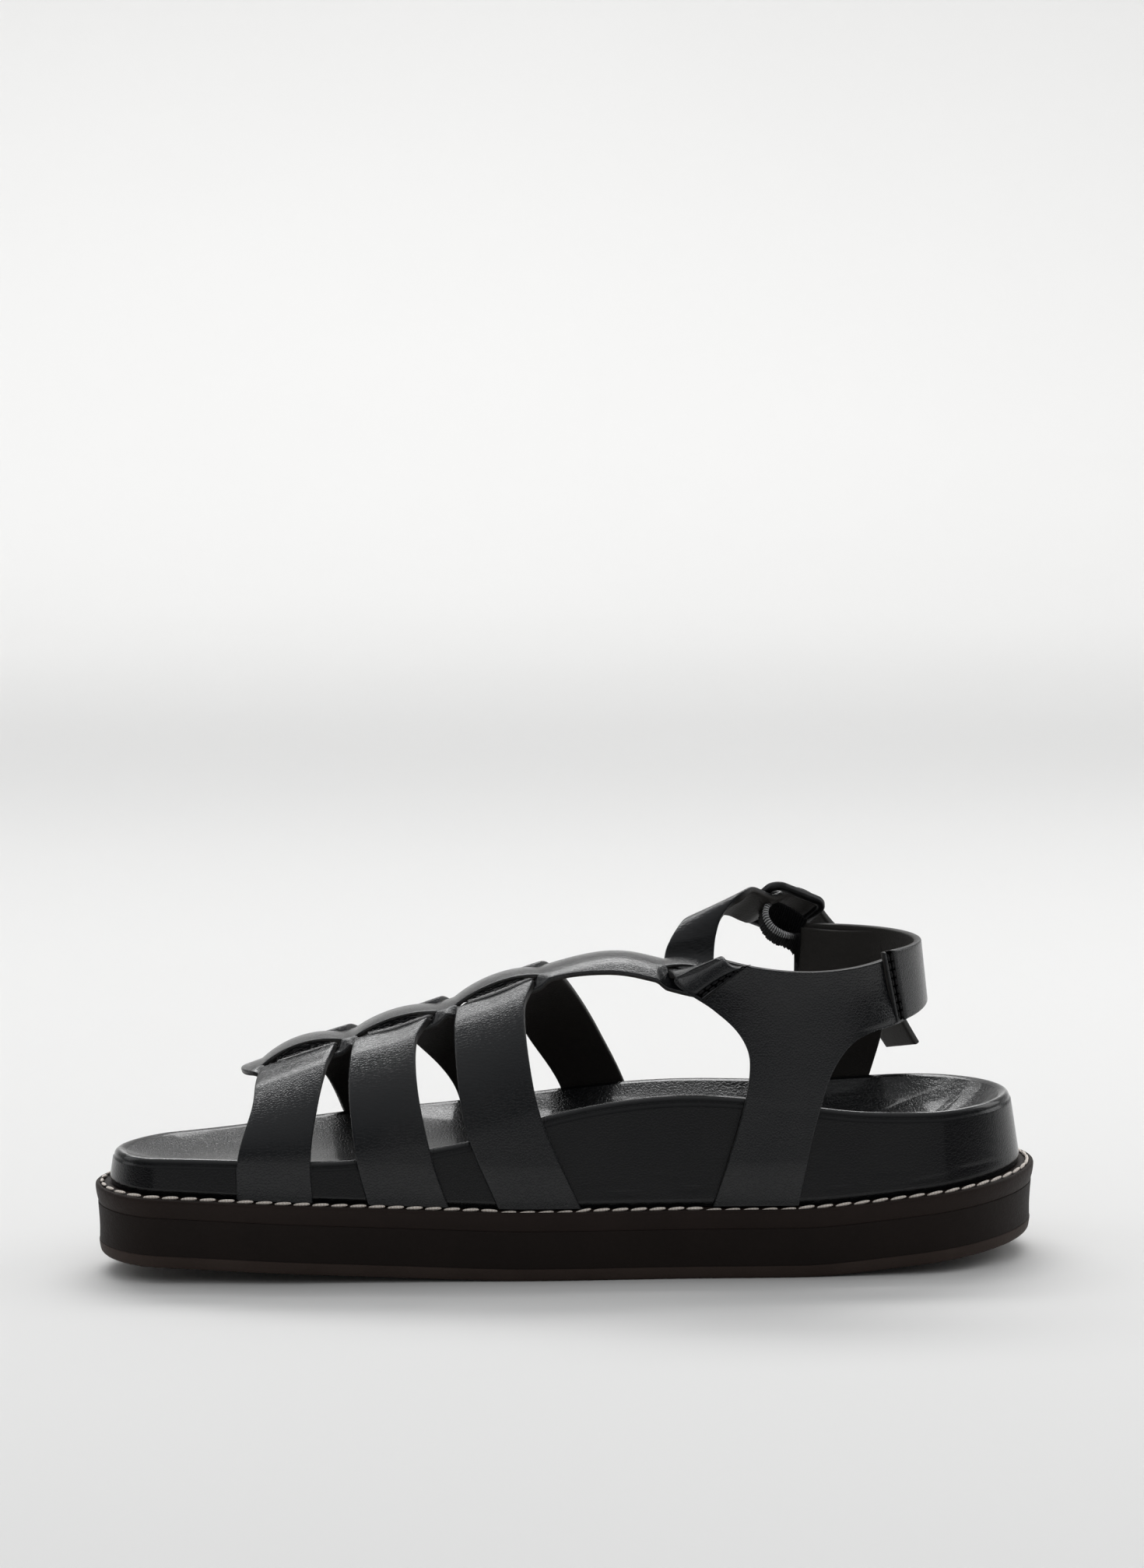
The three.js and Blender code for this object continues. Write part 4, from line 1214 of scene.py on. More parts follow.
    def insole(self) -> None:
        """Builds the insole: the dish with soft creases at the heel and a rounded edge."""
        form = self.form
        share = self.insole_edge * np.sin(np.linspace(0, np.pi / 2, self.insole_rows)) ** self.insole_spread
        top = form.dish(share, 0.0)
        bottom = form.dish(share, self.insole_thickness)
        u, y = form.length / 2 - top[..., 0], top[..., 1] + form.centre_y
        top[..., 2] -= self.crease_seat(u, y) * (1 - smoothstep(share, *self.crease_fade))
        crazed = 1 - smoothstep(u, *self.crazed)
        shell = Shell()
        gather = np.concatenate([crazed, np.zeros_like(crazed)], 1)
        shell.tube(np.concatenate([top, bottom[:, ::-1]], 1), gather=gather)
        shell.dress("insole_cover", self.cover_leather, "insole_leather", "insole")

    def build(self) -> None:
        """Builds and dresses the footbed."""
        self.footbed()
        self.insole()


@dataclass
class BuckleAxes:
    """The buckle's own axes: along the strap towards the heel, across it downwards, and outwards."""

    form: FootForm
    front: Triple = (80.5, 27.4, 99.4)
    back: Triple = (61.5, 34.9, 90.8)
    lean: Triple = (-0.15, -0.7, 0.7)

    def __post_init__(self) -> None:
        """Works out the middle and the three axes."""
        front, back = (self.form.place(*(np.array(v) for v in end)) for end in (self.front, self.back))
        self.middle = (front + back) / 2
        self.along = unit(back - front)
        self.out = unit(np.cross(np.array(self.lean), self.along))
        self.across = unit(np.cross(self.out, self.along))

    def at(self, along: Array, across: Array, out: Array) -> Array:
        """Point in the shoe's frame from places along the three axes."""
        along, across, out = (np.asarray(v, float)[..., None] for v in (along, across, out))
        return self.middle + along * self.along + across * self.across + out * self.out


@dataclass
class StrapUpper:
    """Straps of the upper: three cross straps, a slit centre strip, quarters, heel strap and buckle strap."""

    form: FootForm
    axes: BuckleAxes
    leather: float = 2.2
    strip_leather: float = 1.6
    clearance: float = 0.45
    overlap: float = 0.45
    columns: int = 15
    skived: float = 1.25
    skive_span: Pair = (0.5, 14.0)
    skive_tuck: float = 0.8
    # Cross straps
    cross_rows: int = 321
    cross_width: float = 20.5
    dip: float = 3.0
    ride_over: Pair = (-0.6, 0.8)
    ride_past: Pair = (1.0, 9.0)
    # Centre strip
    margin_drop: Pair = (2.0, 1.0)
    bridge_thinning: float = 0.26
    bridge_rise: float = 3.45
    slit: float = 5.5
    slit_blend: float = 2.0
    slit_share: float = 0.62
    slit_past: float = 1.0
    slit_free: float = 2.5
    hang_past: Pair = (0.0, 4.2)
    hang_reach: float = 4.0
    strip_rows: int = 240
    strip_rounding: float = 0.45
    margin_grid: tuple[int, float] = (7, 5.0)
    middle_grid: tuple[int, float] = (13, 11.0)
    strip_tip: float = 229.7
    tip_rounding: float = 10.0
    tip_blunt: float = 0.6
    tip_rows: int = 30
    rear_crossing: Pair = (100.0, 15.0)
    # Quarters
    quarter_grid: tuple[int, float] = (31, 26.0)
    quarter_rows: int = 90
    quarter_rounding: float = 0.3
    medial_dip: float = 3.4
    lateral_dip: float = 1.0
    dip_power: float = 4.0
    collar_start: float = 0.985
    collar_band: float = 0.0075
    collar_turn: Pair = (0.1, math.pi / 2)
    medial_feather: Pair = (0.87, 0.5)
    lateral_feather: Pair = (0.3, 1.6)
    feather_end: float = 0.98
    feather_levels: Pair = (0.72, 0.82)
    feather_thinning: float = 1.55
    # Heel strap and buckle strap with their seams
    heel_grid: tuple[int, float] = (220, 80.0)
    heel_width: float = 18.5
    heel_slant: float = 7.0
    slant_power: float = 4.0
    buckle_grid: tuple[int, float] = (520, 200.0)
    buckle_width: float = 15.0
    seam_rows: Pair = (1.3, 2.6)
    seam_depth: float = 0.9
    seam_width: float = 0.62
    seam_ends: int = 4
    seam: StitchRow = StitchRow(pitch=2.6, length=2.1, radius=0.36, lift=0.2)
    # Routes of the straps
    strap_rise: Table = Table(
        "share offset", (0, 1.0), (0.036, 1.0), (0.169, -2.65), (0.23, -2.65), (0.39, -2.0), (0.5, 0.45),
        (1, 0.45))
    cross_straps: tuple[Table, ...] = (
        Table("way centre width",
              (-1, 220.7, 21.5), (-0.78, 220.7, 20.5), (-0.5, 217.2, 18.6), (-0.24, 214.8, 20.6),
              (-0.1, 213.1, 21.2), (0, 212, 21), (0.4, 201, 20), (0.83, 189.6, 20.8), (1, 187, 21)),
        Table("way centre width",
              (-1, 183, 23), (-0.8, 186.8, 21.5), (-0.5, 189.5, 19.5), (-0.24, 188.9, 18.8),
              (-0.1, 186.4, 21.2), (0, 185, 21.6), (0.5, 169.5, 19.5), (0.76, 157, 20), (1, 153.5, 21)),
        Table("way centre width",
              (-1, 145.8, 23.7), (-0.71, 155, 22), (-0.5, 158, 20.7), (-0.24, 158.7, 20), (-0.1, 156.8, 21.8),
              (0, 156, 22), (0.32, 144, 20), (0.55, 135.3, 21), (0.77, 126, 19.5), (1, 122.5, 20)))
    strip: Table = Table(
        "u half",
        (90, 12.5), (112, 13.5), (126, 12), (140, 9.5), (170, 9), (200, 9.5), (222, 11), (232, 11))
    medial_quarter: Table = Table(
        "level fore_at fore_up aft_at aft_up",
        (0, 96.4, 20.6, 72, 20.6), (0.2, 91.5, 35, 69, 35.7), (0.38, 87.2, 50, 66, 47.5),
        (0.54, 85.8, 62, 62.6, 58), (0.64, 88.6, 69, 58, 65), (0.74, 95, 75, 52, 68.4),
        (0.82, 104.5, 81.5, 39.5, 71.4), (0.9, 101, 86, 40, 81), (1, 94, 90.4, 41.5, 90.6))
    lateral_quarter: Table = Table(
        "level fore_at fore_up aft_at aft_up",
        (0, 78, 20.6, 53, 20.6), (0.3, 72, 38, 46.5, 38), (0.55, 67.5, 54, 42, 55),
        (0.75, 66, 68, 42, 68), (0.88, 66, 79, 44, 77.5), (1, 65.6, 90, 44.5, 90.4))
    heel: Table = Table(
        "turn low high",
        (-50, 70.7, 91.4), (-40, 71.2, 91.6), (0, 73.4, 91.2), (45, 73.6, 91), (84, 75, 90.6))
    buckle_run: Table = Table(
        "toe_at toe_y toe_up heel_at heel_y heel_up",
        (97.25, -23.9, 77.85, 84.9, -28.2, 89.25), (104, -17.4, 81.6, 91.4, -25.8, 89),
        (107, -9, 82.9, 93.2, -11, 85), (107.8, 0, 81.8, 93.2, 0, 79.2),
        (107.4, 8, 84.4, 92.8, 9, 84.4), (105.8, 10.5, 89.4, 91.9, 11.5, 91.4),
        (103.8, 13.5, 92.5, 90, 13.5, 96.7), (101, 17.5, 94.5, 85.3, 16, 101.5),
        (95.5, 23, 94.2, 82, 17.5, 102.3))
    in_buckle: Table = Table(
        "along out high low",
        (-14.5, -4.6, -7.2, 7.2), (-10.5, -4.9, -7.2, 7.2), (-7.2, -4.7, -7.2, 7.2), (-3.4, -2, -7.2, 7.2),
        (0.5, 1, -7.2, 7.2), (4.5, 1.6, -7, 7.2), (9.8, 1.5, -5.4, 7.6), (12.4, 1.2, -2.6, 8.6))
    tail: Table = Table(
        "toe_at toe_y toe_up heel_at heel_y heel_up",
        (51.5, 39.6, 70.5, 44.5, 31, 76), (38.8, 40.5, 51, 31, 31.2, 53.6))
    bend_creases: Table = Table(
        "along place reach depth width",
        (42.8, 0.86, 0.2, 0.2, 0.4), (44.1, 0.78, 0.28, 0.26, 0.42), (45.3, 0.84, 0.22, 0.22, 0.4),
        (46.7, 0.74, 0.3, 0.28, 0.45), (48.0, 0.82, 0.24, 0.24, 0.4), (49.2, 0.7, 0.3, 0.24, 0.45),
        (50.6, 0.8, 0.22, 0.2, 0.4), (52.2, 0.72, 0.2, 0.16, 0.45))
    # Finishes
    finish: Leather = Leather(
        "strap leather", (0.0036, 0.0044, 0.0058, 1), (0.0092, 0.0096, 0.0105, 1), roughness=0.22,
        flesh=(0.032, 0.029, 0.026, 1), grain=0.85, depth=0.05, coat=0.15, wrinkle=0.6, gloss=0.36,
        sheen=0.04)
    # The thread's second colour is painted shade in the grooves of its twist.
    seam_thread: Thread = Thread(
        "seam thread", (0.014, 0.014, 0.015, 1), (0.003, 0.003, 0.0033, 1), roughness=0.62, gloss=0.2)

    def skive(self, points: Array) -> tuple[Array, Array]:
        """Clearance and thickness of a strap that is thinned where it tucks in at the welt.

        Args:
            points: the strap's grid on the form.

        Returns:
            Offset from the form and thickness.
        """
        up = points[..., 2] - self.form.welt_top(self.form.length / 2 - points[..., 0])
        thin = 1 - smoothstep(up, *self.skive_span)
        offset = self.clearance * (1 - self.skive_tuck * thin)
        return offset, self.leather - (self.leather - self.skived) * thin

    def crossings(self) -> list[Pair]:
        """Centre and width of each strap where it passes under the strip's bridge."""
        names = ("centre", "width")
        return [*(tuple(t(n, np.zeros(1))[0] for n in names) for t in self.cross_straps), self.rear_crossing]

    def cross_strap(self, rows: Table) -> Shell:
        """Lays a cross strap from welt to welt: it dips under the bridge and rides over the margins.

        Args:
            rows: the strap's centre and width on its way.

        Returns:
            The strap as a piece.
        """
        way = np.linspace(-1, 1, self.cross_rows)[:, None]
        share = edged(self.columns, self.cross_width)
        u = rows("centre", way) + (share - 0.5) * rows("width", way)
        sign = np.where(way < 0, -1.0, 1.0) + 0 * u
        across = way * self.form.section(u, sign)[1][..., -1]
        points = self.form.on_form(u, across)
        offset, thickness = self.skive(points)
        reach = np.abs(across)
        over = smoothstep(reach, self.slit - self.slit_blend, self.slit + self.slit_blend)
        near, far = self.ride_past
        margin = self.strip("half", u)
        past = 1 - smoothstep(reach, margin + near, margin + far)
        ride = np.where(way < 0, *self.ride_over)
        offset = offset + ride * over * past - self.dip * (1 - over)
        return Sheet(self.form, points, offset, thickness, Border.SIDES).shell()

    def strip_half(self, u: Array) -> Array:
        """Half width of the centre strip, an ellipse at its tip."""
        return np.maximum(self.strip("half", u) * np.sqrt(1 - self.past_tip(u) ** 2), self.tip_blunt)

    def past_tip(self, u: Array) -> Array:
        """Share of the way through the strip's rounded tip."""
        return np.clip((u - self.strip_tip) / self.tip_rounding + 1, 0, 1)

    def tip_distance(self, u: Array, across: Array, half: Array) -> Array:
        """Distance to the strip's outer edge, taken on the ellipse at its tip.

        Args:
            u: distances from the heel.
            across: distances from the crest.
            half: half widths of the strip.

        Returns:
            The distances, 0 at the edge.
        """
        past = self.past_tip(u)[:, None]
        on_tip = (1 - np.hypot(past, across / self.strip("half", u)[:, None])) * self.tip_rounding
        return np.maximum(np.where(past > 0, on_tip, half[:, None] - np.abs(across)), 0)

    def bridge(self, u: Array) -> tuple[Array, Array, Array]:
        """Rise of the strip's bridges and share of its margins' drop at each crossing.

        A bridge is a parabola over the slit, H (1 - (d / end)^2); the margins sink under the strap, and
        start to hang a little before it.

        Args:
            u: distances from the heel.

        Returns:
            Rise, share of the drop, and share by which the slit frees the margin's inner edge.
        """
        rise, drop, free = np.zeros((3, *u.shape))
        near, far = self.hang_past
        for centre, width in self.crossings():
            away = np.abs(u - centre)
            end = width / 2 + self.slit_past
            rise = np.maximum(rise, self.bridge_rise * np.maximum(0, 1 - (away / end) ** 2))
            drop = np.maximum(drop, 1 - smoothstep(away, width / 2 + near, width / 2 + far))
            free = np.maximum(free, 1 - smoothstep(away, end - self.slit_free, end))
        return rise, drop, free

    def centre_strip(self) -> Shell:
        """Lays the centre strip: its middle arches over the straps between slits, its margins lie under.

        The middle and the two margins are spans of their own, which share their edge lines, so the weld
        joins them wherever there is no slit.

        Returns:
            The strip as a piece.
        """
        start = self.strip_tip - self.tip_rounding
        tip = self.tip_rounding * np.sin(np.linspace(0, np.pi / 2, self.tip_rows))[1:]
        u = np.concatenate([np.linspace(self.strip.columns["u"][0], start, self.strip_rows), start + tip])
        half = self.strip_half(u)
        slit = np.minimum(self.slit, self.slit_share * half)
        rise, drop, free = (values[:, None] for values in self.bridge(u))
        parted = rise[:, 0] > 0
        margin, middle = (edged(*grid, self.strip_rounding) for grid in (self.margin_grid, self.middle_grid))
        medial, lateral = self.margin_drop
        spans = ((-half, -slit, margin, medial), (-slit, slit, middle, 0.0), (slit, half, margin, lateral))
        shell = Shell()
        skins = []
        for low, high, share, sink in spans:
            across = low[:, None] + (high - low)[:, None] * share
            points = self.form.on_form(np.broadcast_to(u[:, None], across.shape), across)
            past_slit = np.abs(across) - slit[:, None]
            to_slit = np.where(parted[:, None], np.abs(past_slit), np.inf)
            lowered = edge_drop(np.minimum(to_slit, self.tip_distance(u, across, half)), self.strip_rounding)
            normals = unit(np.cross(np.gradient(points, axis=1), np.gradient(points, axis=0)))
            hang = free + (1 - free) * smoothstep(past_slit, 0, self.hang_reach)
            lift = -sink * drop * hang if sink else rise + 0 * across
            base = self.clearance + lift
            thick = self.strip_leather - self.bridge_thinning * np.maximum(lift, 0)
            top = points + normals * (base + thick - lowered)[..., None]
            bottom = points + normals * (base + lowered)[..., None]
            along = run(points, 0)
            skins.append((shell.add(top, along=along), shell.add(bottom, along=along, lining=1.0)))
        cut = (parted[:-1] | parted[1:])[None, :]
        for number, (top, bottom) in enumerate(skins):
            shell.skin(top)
            shell.skin(bottom)
            for row in (0, -1):
                shell.skin(np.stack([top[row], bottom[row]]))
            # The strip's outer edges are closed all along, the spans' inner ones only at the slits
            for side, outer in ((0, 0), (-1, 2)):
                walls = np.stack([top[:, side], bottom[:, side]])
                shell.skin(walls, None if number == outer else cut)
        return shell

    def quarter(self, side: Side) -> Shell:
        """Lays a quarter: rows from welt to collar between its fore and aft edges, with a dipped collar.

        Args:
            side: side of the foot.

        Returns:
            The quarter as a piece.
        """
        medial = side is Side.MEDIAL
        rows = self.medial_quarter if medial else self.lateral_quarter
        dip = self.medial_dip if medial else self.lateral_dip
        start, inner = self.medial_feather if medial else self.lateral_feather
        close = self.collar_band * (1 - np.sin(np.linspace(*self.collar_turn, EDGE_STEPS)))
        level = np.concatenate([np.linspace(0, self.collar_start, self.quarter_rows), 1 - close])[:, None]
        share = edged(*self.quarter_grid)
        u = rows("fore_at", level) * (1 - share) + rows("aft_at", level) * share
        sag = dip * level**self.dip_power * 4 * share * (1 - share)
        z = rows("fore_up", level) * (1 - share) + rows("aft_up", level) * share - sag
        points = self.form.ankle(u, np.maximum(z, self.form.welt_top(u) + self.form.gap), side.value)
        offset, thickness = self.skive(points)
        feather = smoothstep(share, start, self.feather_end) * smoothstep(level, *self.feather_levels)
        offset, thickness = offset + inner * feather, thickness - self.feather_thinning * feather
        borders = Border.SIDES | Border.END
        return Sheet(self.form, points, offset, thickness, borders, self.quarter_rounding).shell()

    def seam_troughs(self, distance: Array) -> Array:
        """Depth of the soft Gaussian troughs that a sewn seam's rows pull into the leather."""
        rows = np.array(self.seam_rows)[:, None, None]
        return troughs(self.seam_depth, (distance - rows) / self.seam_width, 0 * rows)

    def heel_strap(self) -> Sheet:
        """Lays the heel strap round the collar: an ellipse that opens towards its lower edge.

        Returns:
            The strap.
        """
        form = self.form
        turns = self.heel.columns["turn"]
        t = edged(*self.heel_grid)[:, None]
        share = edged(self.columns, self.heel_width)
        turn = turns[0] + (turns[-1] - turns[0]) * t
        angle = np.radians(turn + self.heel_slant * (1 - share) * (1 - t) ** self.slant_power)
        low = self.heel("low", turn)
        z = low + (self.heel("high", turn) - low) * share
        splay = form.collar_splay * (form.collar_height - z) * np.maximum(0, np.cos(angle))
        u = form.collar_centre - (form.collar_heel + splay) * np.cos(angle)
        points = form.place(u, form.collar_half * np.sin(angle), z)
        offset = self.clearance + self.leather - self.overlap
        return Sheet(form, points, offset, self.leather, Border.ALL, sunk=self.seam_troughs(run(points, 0)))

    def buckle_strap(self) -> Sheet:
        """Lays the buckle strap: two smooth edges from its seam, under the bridge and through the buckle.

        It lies over the quarter at the seam, sinks under the bridge and rises again to the buckle.

        Returns:
            The strap.
        """
        first, last = self.form.edges_of(self.buckle_run), self.form.edges_of(self.tail)
        c = self.in_buckle.columns
        inside = [self.axes.at(c["along"], c[edge], c["out"]) for edge in ("low", "high")]
        t = edged(*self.buckle_grid)
        toe, heel = (smooth_path(np.concatenate(parts), t) for parts in zip(first, inside, last))
        share = edged(self.columns, self.buckle_width)
        points = ruled(toe, heel, share)
        length = run(points, 0)
        row = self.bend_creases.stacked()
        along = (length - row["along"]) / row["width"]
        creases = troughs(row["depth"], along, (share - row["place"]) / row["reach"])
        sunk = self.seam_troughs(length) + creases
        offset = self.strap_rise("offset", t)[:, None]
        return Sheet(self.form, points, offset, self.leather, Border.ALL, sunk=sunk)

    def build(self) -> None:
        """Builds and dresses the straps; those that are sewn on get their seam stitches."""
        pieces = {f"cross_strap_{n}": self.cross_strap(rows) for n, rows in enumerate(self.cross_straps, 1)}
        pieces["centre_strip"] = self.centre_strip()
        pieces.update({f"{side.name.lower()}_quarter": self.quarter(side) for side in Side})
        for name, shell in pieces.items():
            shell.dress(name, self.finish, "strap_leather", "upper")
        for name, sheet in (("heel_strap", self.heel_strap()), ("buckle_strap", self.buckle_strap())):
            sheet.shell().dress(name, self.finish, "strap_leather", "upper")
            rows, inner = Shell(), np.s_[self.seam_ends:-self.seam_ends]
            for distance in self.seam_rows:
                path, normals = sheet.line_at(distance)
                self.seam.add_to(rows, path[inner], normals[inner])
            rows.dress(f"{name}_stitches", self.seam_thread, "strap_leather")


@dataclass
class Fastening:
    """Black buckle with its prong and the ribbed elastic that carries it."""

    form: FootForm
    axes: BuckleAxes
    along: float = 20.5
    across: float = 21.0
    bar: float = 2.4
    corner: float = 4.5
    depth: float = 2.4
    squareness: float = 3.2
    corner_points: int = 13
    bar_points: int = 24
    prong_rows: int = 40
    prong_points: int = 16
    prong_bluntness: float = 12.0
    elastic_thickness: float = 1.6
    elastic_rows: int = 501
    elastic_grid: tuple[int, float, float] = (13, 11.0, 0.5)
    rib_pitch: float = 0.8
    rib_height: float = 0.24
    fray: float = 0.16
    fray_lengths: Triple = (1.3, 1.9, 3.1)
    # Where the ribs get their painted highlight: a stretch of the band, one edge, a faint rest.
    highlight_bend: Window = (0.12, 0.25, 0.55, 0.68)
    highlight_edge: Pair = (0.72, 0.82)
    highlight_rest: float = 0.015
    elastic_edges: Table = Table(
        "toe_at toe_y toe_up heel_at heel_y heel_up",
        (66.5, 29.6, 77.1, 66.2, 29.6, 88.3), (67.8, 28.5, 82.1, 67.3, 25, 88.7),
        (70.4, 27, 84.6, 69.7, 21.5, 89.3), (73.7, 26, 86, 72.4, 19, 90.5),
        (76.5, 25.5, 88.6, 75.2, 18, 92.6), (77.8, 26, 91.8, 76.7, 19, 95.6),
        (77.3, 27.5, 94, 76, 21.5, 98), (75.7, 29, 92.9, 74.2, 24.5, 98.4),
        (73.1, 30.3, 89.2, 71.3, 26.5, 97.3), (69.4, 30.8, 87, 67.5, 28.3, 95.2),
        (66.3, 30.4, 86.1, 63.7, 29.5, 92.2))
    prong: Table = Table(
        "along out width thickness",
        (-11.4, 2.1, 1.2, 1.0), (-9, 2.75, 1.9, 1.15), (-4, 4.1, 1.9, 1.25), (1.2, 5.6, 1.9, 1.4),
        (4, 5.65, 1.9, 1.4))
    lacquer: Metal = Metal("buckle metal", (0.011, 0.011, 0.012, 1), (0.028, 0.028, 0.03, 1), roughness=0.34)
    # The web's near-white second colour is its painted rib highlight.
    web: Webbing = Webbing("elastic web", (0.0055, 0.0055, 0.006, 1), (0.85, 0.85, 0.86, 1), roughness=0.78)

    def rounded_square(self, count: int) -> tuple[Array, Array]:
        """Unit section between a circle and a square: |x|^n + |y|^n = 1.

        Args:
            count: points round the section.

        Returns:
            X and Y of the section, closed.
        """
        angle = np.linspace(0, 2 * np.pi, count + 1)
        cos, sin = np.cos(angle), np.sin(angle)
        reach = (np.abs(cos) ** self.squareness + np.abs(sin) ** self.squareness) ** (-1 / self.squareness)
        return cos * reach, sin * reach

    def frame_bar(self) -> None:
        """Builds the frame: a rounded square section carried round a rounded rectangle."""
        radius = self.corner - self.bar / 2
        half = np.array([self.along - self.bar, self.across - self.bar]) / 2 - radius
        turn = np.linspace(0, np.pi / 2, self.corner_points)
        angle = np.concatenate([turn + k * np.pi / 2 for k in range(4)])
        sides = np.repeat([[1, 1], [-1, 1], [-1, -1], [1, -1]], len(turn), axis=0)
        facing = np.stack([np.cos(angle), np.sin(angle)], -1)
        centre = sides * half + radius * facing
        x, y = self.rounded_square(self.bar_points)
        flat = centre[:, None] + facing[:, None] * (x * self.bar / 2)[None, :, None]
        out = np.broadcast_to(y * self.depth / 2, flat.shape[:2])
        shell = Shell()
        shell.tube(self.axes.at(flat[..., 0], flat[..., 1], out))
        shell.dress("buckle_frame_bar", self.lacquer, "buckle_metal", "buckle_frame")

    def prong_pin(self) -> None:
        """Builds the prong: a flat pin whose section follows its table, rounded off at both ends."""
        ends = self.prong.columns["along"]
        t = eased(self.prong_rows)
        along = ends[0] + (ends[-1] - ends[0]) * t
        close = np.sqrt(np.clip(1 - np.abs(2 * t - 1) ** self.prong_bluntness, 0, 1))
        x, y = self.rounded_square(self.prong_points)
        wide = (self.prong("width", along) / 2 * close)[:, None] * x
        thick = (self.prong("thickness", along) / 2 * close)[:, None] * y
        shell = Shell()
        shell.patch(self.axes.at(along[:, None] + 0 * wide, wide, self.prong("out", along)[:, None] + thick))
        shell.dress("buckle_prong_pin", self.lacquer, "buckle_metal", "buckle_prong")

    def elastic(self) -> None:
        """Builds the elastic: a band between two smooth edges, one frayed, with ribs raised across it."""
        t = np.linspace(0, 1, self.elastic_rows)
        share = edged(*self.elastic_grid)
        toe, heel = (smooth_path(edge, t) for edge in self.form.edges_of(self.elastic_edges))
        phases = 2 * np.pi * run(toe, 0)[:, None] / np.array(self.fray_lengths) + np.arange(3)
        toe = toe + unit(toe - heel) * (self.fray * np.sin(phases).sum(1))[:, None]
        points = ruled(toe, heel, share)
        middle = run(points, 0).mean(1, keepdims=True)
        rib = 0.5 - 0.5 * np.cos(2 * np.pi * middle / self.rib_pitch)
        half = self.elastic_thickness / 2 - self.rib_height * (1 - rib)
        # Painted highlight on the ribs, strongest where the band bends and near its smooth edge.
        # The sheet carries it as its gather value, which the web reads as colour.
        highlight_spot = window(t, *self.highlight_bend)[:, None] * smoothstep(share, *self.highlight_edge)
        light = rib * (self.highlight_rest + (1 - self.highlight_rest) * highlight_spot)
        rounding = self.elastic_grid[-1]
        sheet = Sheet(self.form, points, -half, 2 * half, Border.SIDES, rounding, gather=light)
        sheet.shell().dress("elastic_band", self.web, "elastic_web", "elastic")

    def build(self) -> None:
        """Builds and dresses the fastening."""
        self.frame_bar()
        self.prong_pin()
        self.elastic()


@dataclass(frozen=True)
class SoftLight:
    """Rectangular area light: place, size and aim in metres, power in watts, beam in degrees."""

    name: str
    place: Triple
    size: Pair
    power: float
    beam: float
    aim: Triple = (0.0, 0.0, 0.04)

    def build(self) -> None:
        """Adds the light, facing its aim."""
        data = bpy.data.lights.new(self.name, "AREA")
        data.shape = "RECTANGLE"
        data.size, data.size_y = self.size
        data.energy = self.power
        data.spread = math.radians(self.beam)
        light = bpy.data.objects.new(self.name, data)
        light.location = self.place
        light.rotation_euler = (Vector(self.aim) - Vector(self.place)).to_track_quat("-Z", "Y").to_euler()
        bpy.context.scene.collection.objects.link(light)


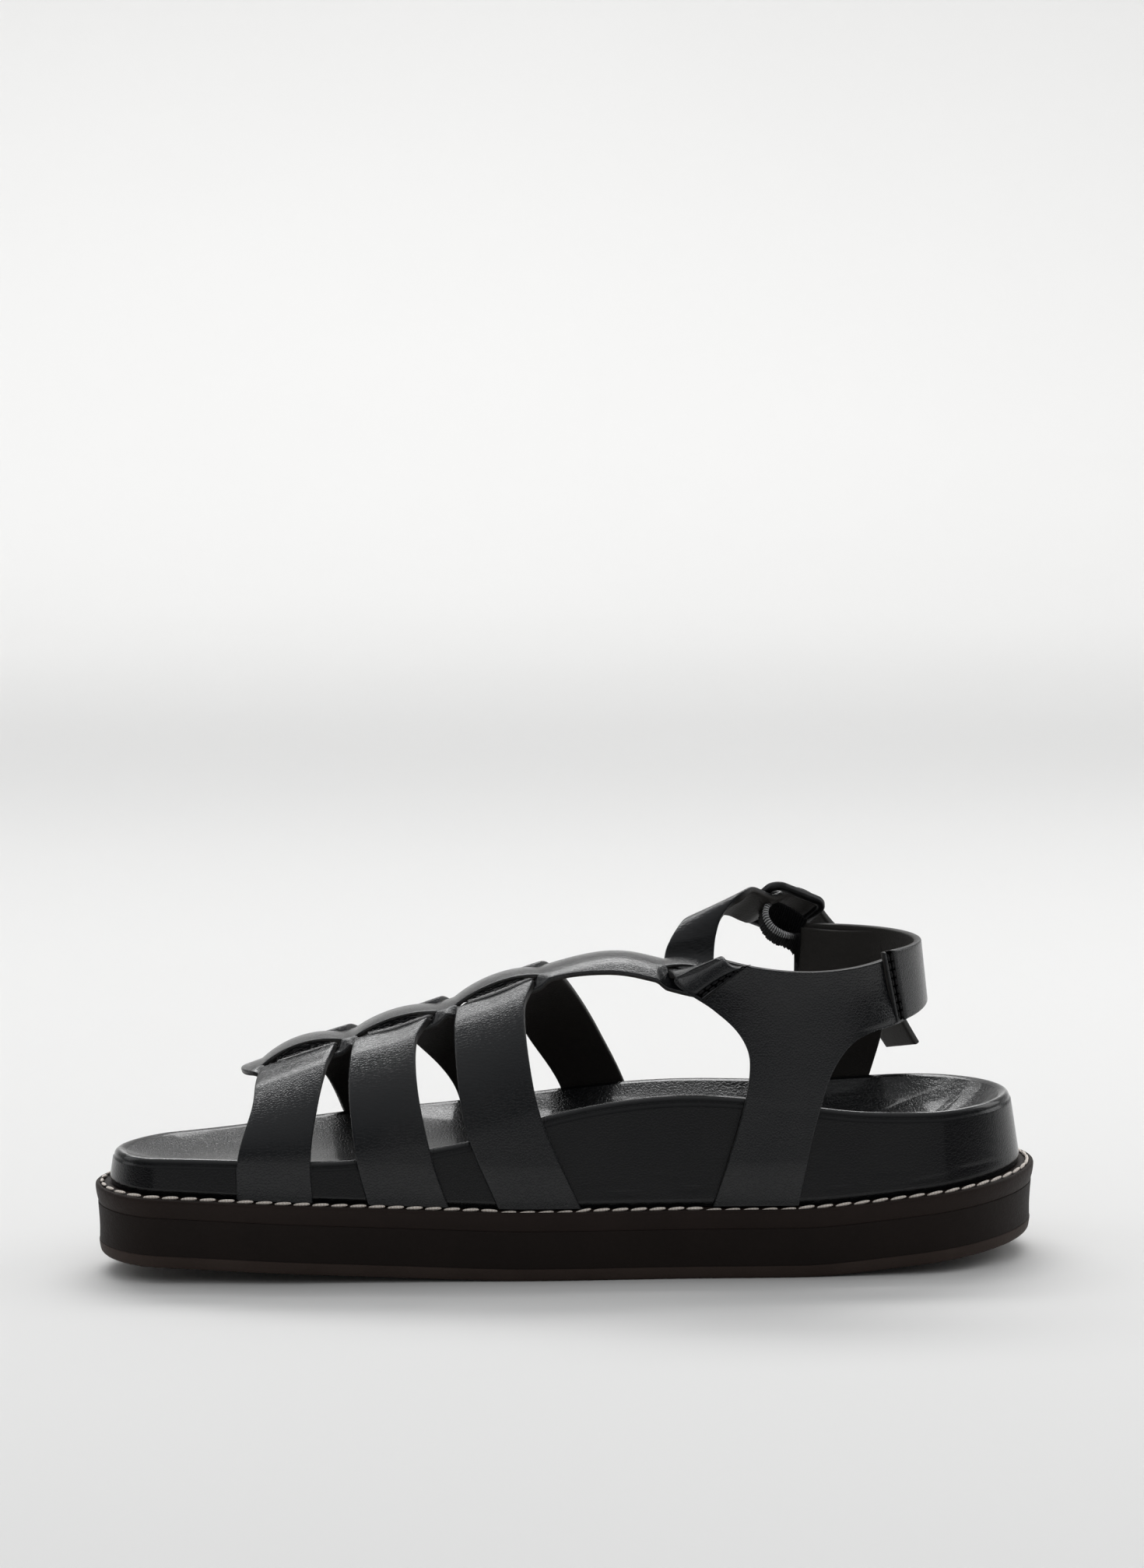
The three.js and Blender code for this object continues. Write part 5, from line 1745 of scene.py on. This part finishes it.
@dataclass
class Studio:
    """Pale sweep, soft lights and a camera at the photograph's viewing angle; the sweep is in metres."""

    form: FootForm
    azimuth: float = -3.0
    elevation: float = 11.5
    distance: float = 1400.0
    target_height: float = 45.0
    lens: float = 110.9
    sensor: float = 36.0
    target_pixel: Pair = (729.0, 1411.3)
    sweep_radius: float = 1.5
    sweep_steps: int = 24
    wall_at: float = 3.2
    wall_height: float = 3.5
    floor_lines: Triple = (-5.0, -2.0, 0.0)
    half_width: float = 6.0
    sweep_columns: int = 5
    room: float = 0.08
    room_colour: Colour = (0.97, 0.985, 1.0, 1)
    ceiling: float = 0.5
    ceiling_from: Pair = (0.1, 0.95)
    backdrop: float = 0.3
    backdrop_from: Pair = (-0.3, 0.6)
    paper: Paper = Paper("pale sweep", (0.82, 0.815, 0.805, 1), (0.7954, 0.79055, 0.78085, 1), roughness=0.85)
    lights: tuple[SoftLight, ...] = (
        SoftLight("back_softbox", (0.0, 1.2, 1.35), (2.2, 0.45), power=4.9, beam=80.0),
        SoftLight("top_strip", (0.0, 0.6, 1.5), (1.6, 0.08), power=0.9, beam=110.0),
        SoftLight("toe_softbox", (-1.4, 0.3, 0.7), (0.7, 0.9), power=1.0, beam=140.0),
        SoftLight("heel_softbox", (1.4, 0.4, 0.7), (0.7, 0.9), power=2.2, beam=140.0),
        SoftLight("front_strip", (0.2, -1.35, 0.2), (1.8, 0.3), power=0.36, beam=140.0),
        SoftLight("backdrop_softbox", (0.0, 1.3, 3.0), (3.4, 0.8), power=20.0, beam=80.0,
                  aim=(0.0, 2.3, 0.3)))

    def camera(self) -> None:
        """Makes the camera: it looks at the target from the azimuth and elevation, shifted to its pixel."""
        data = bpy.data.cameras.new("photo camera")
        data.lens = self.lens
        data.sensor_width = self.sensor
        data.shift_x = (PHOTO_WIDTH / 2 - self.target_pixel[0]) / PHOTO_HEIGHT
        data.shift_y = (self.target_pixel[1] - PHOTO_HEIGHT / 2) / PHOTO_HEIGHT
        camera = bpy.data.objects.new("photo_camera", data)
        a, e = math.radians(self.azimuth), math.radians(self.elevation)
        back = Vector((math.sin(a) * math.cos(e), -math.cos(a) * math.cos(e), math.sin(e)))
        target = Vector((0, -self.form.centre_y, self.target_height)) * MM
        camera.location = target + back * self.distance * MM
        camera.rotation_euler = (-back).to_track_quat("-Z", "Y").to_euler()
        bpy.context.scene.collection.objects.link(camera)
        bpy.context.scene.camera = camera

    def sweep(self) -> None:
        """Makes the floor: a flat sheet that curves up into a wall far behind the shoe."""
        turn = np.linspace(0, np.pi / 2, self.sweep_steps)
        curve = self.wall_at - self.sweep_radius + self.sweep_radius * np.sin(turn)
        y = np.concatenate([self.floor_lines, curve, [self.wall_at]])
        rise = self.sweep_radius * (1 - np.cos(turn))
        z = np.concatenate([np.zeros(len(self.floor_lines)), rise, [self.wall_height]])
        x = np.linspace(-self.half_width, self.half_width, self.sweep_columns)
        shell = Shell()
        shell.patch(np.stack(np.broadcast_arrays(x[None, :], y[:, None], z[:, None]), -1) / MM)
        shell.build("studio_sweep", self.paper)

    def world(self) -> None:
        """Makes the surroundings: dim at the horizon, brighter overhead and behind the shoe."""
        world = bpy.data.worlds.new("studio room")
        bpy.context.scene.world = world
        graph = Graph(world)
        place = graph.node("ShaderNodeTexCoord", {}, {}, "Generated")
        up, behind = (graph.node("ShaderNodeSeparateXYZ", {}, {"Vector": place}, axis) for axis in "ZY")
        strength = self.room + up.step(*self.ceiling_from) * self.ceiling
        strength = strength + behind.step(*self.backdrop_from) * self.backdrop
        inputs = {"Color": self.room_colour, "Strength": strength}
        graph.node_output("ShaderNodeOutputWorld", graph.node("ShaderNodeBackground", {}, inputs))

    def build(self) -> None:
        """Builds the studio."""
        bpy.context.scene.view_settings.view_transform = "Standard"
        self.camera()
        self.sweep()
        for light in self.lights:
            light.build()
        self.world()


def main() -> None:
    """Builds the studio, the sole, the footbed, the straps and the fastening."""
    logging.basicConfig(level=logging.INFO, format="%(name)s: %(message)s")
    form = FootForm()
    axes = BuckleAxes(form)
    Studio(form).build()
    for unit_of_shoe in (SoleUnit(form), FootbedUnit(form), StrapUpper(form, axes), Fastening(form, axes)):
        unit_of_shoe.build()


if __name__ == "__main__":
    main()
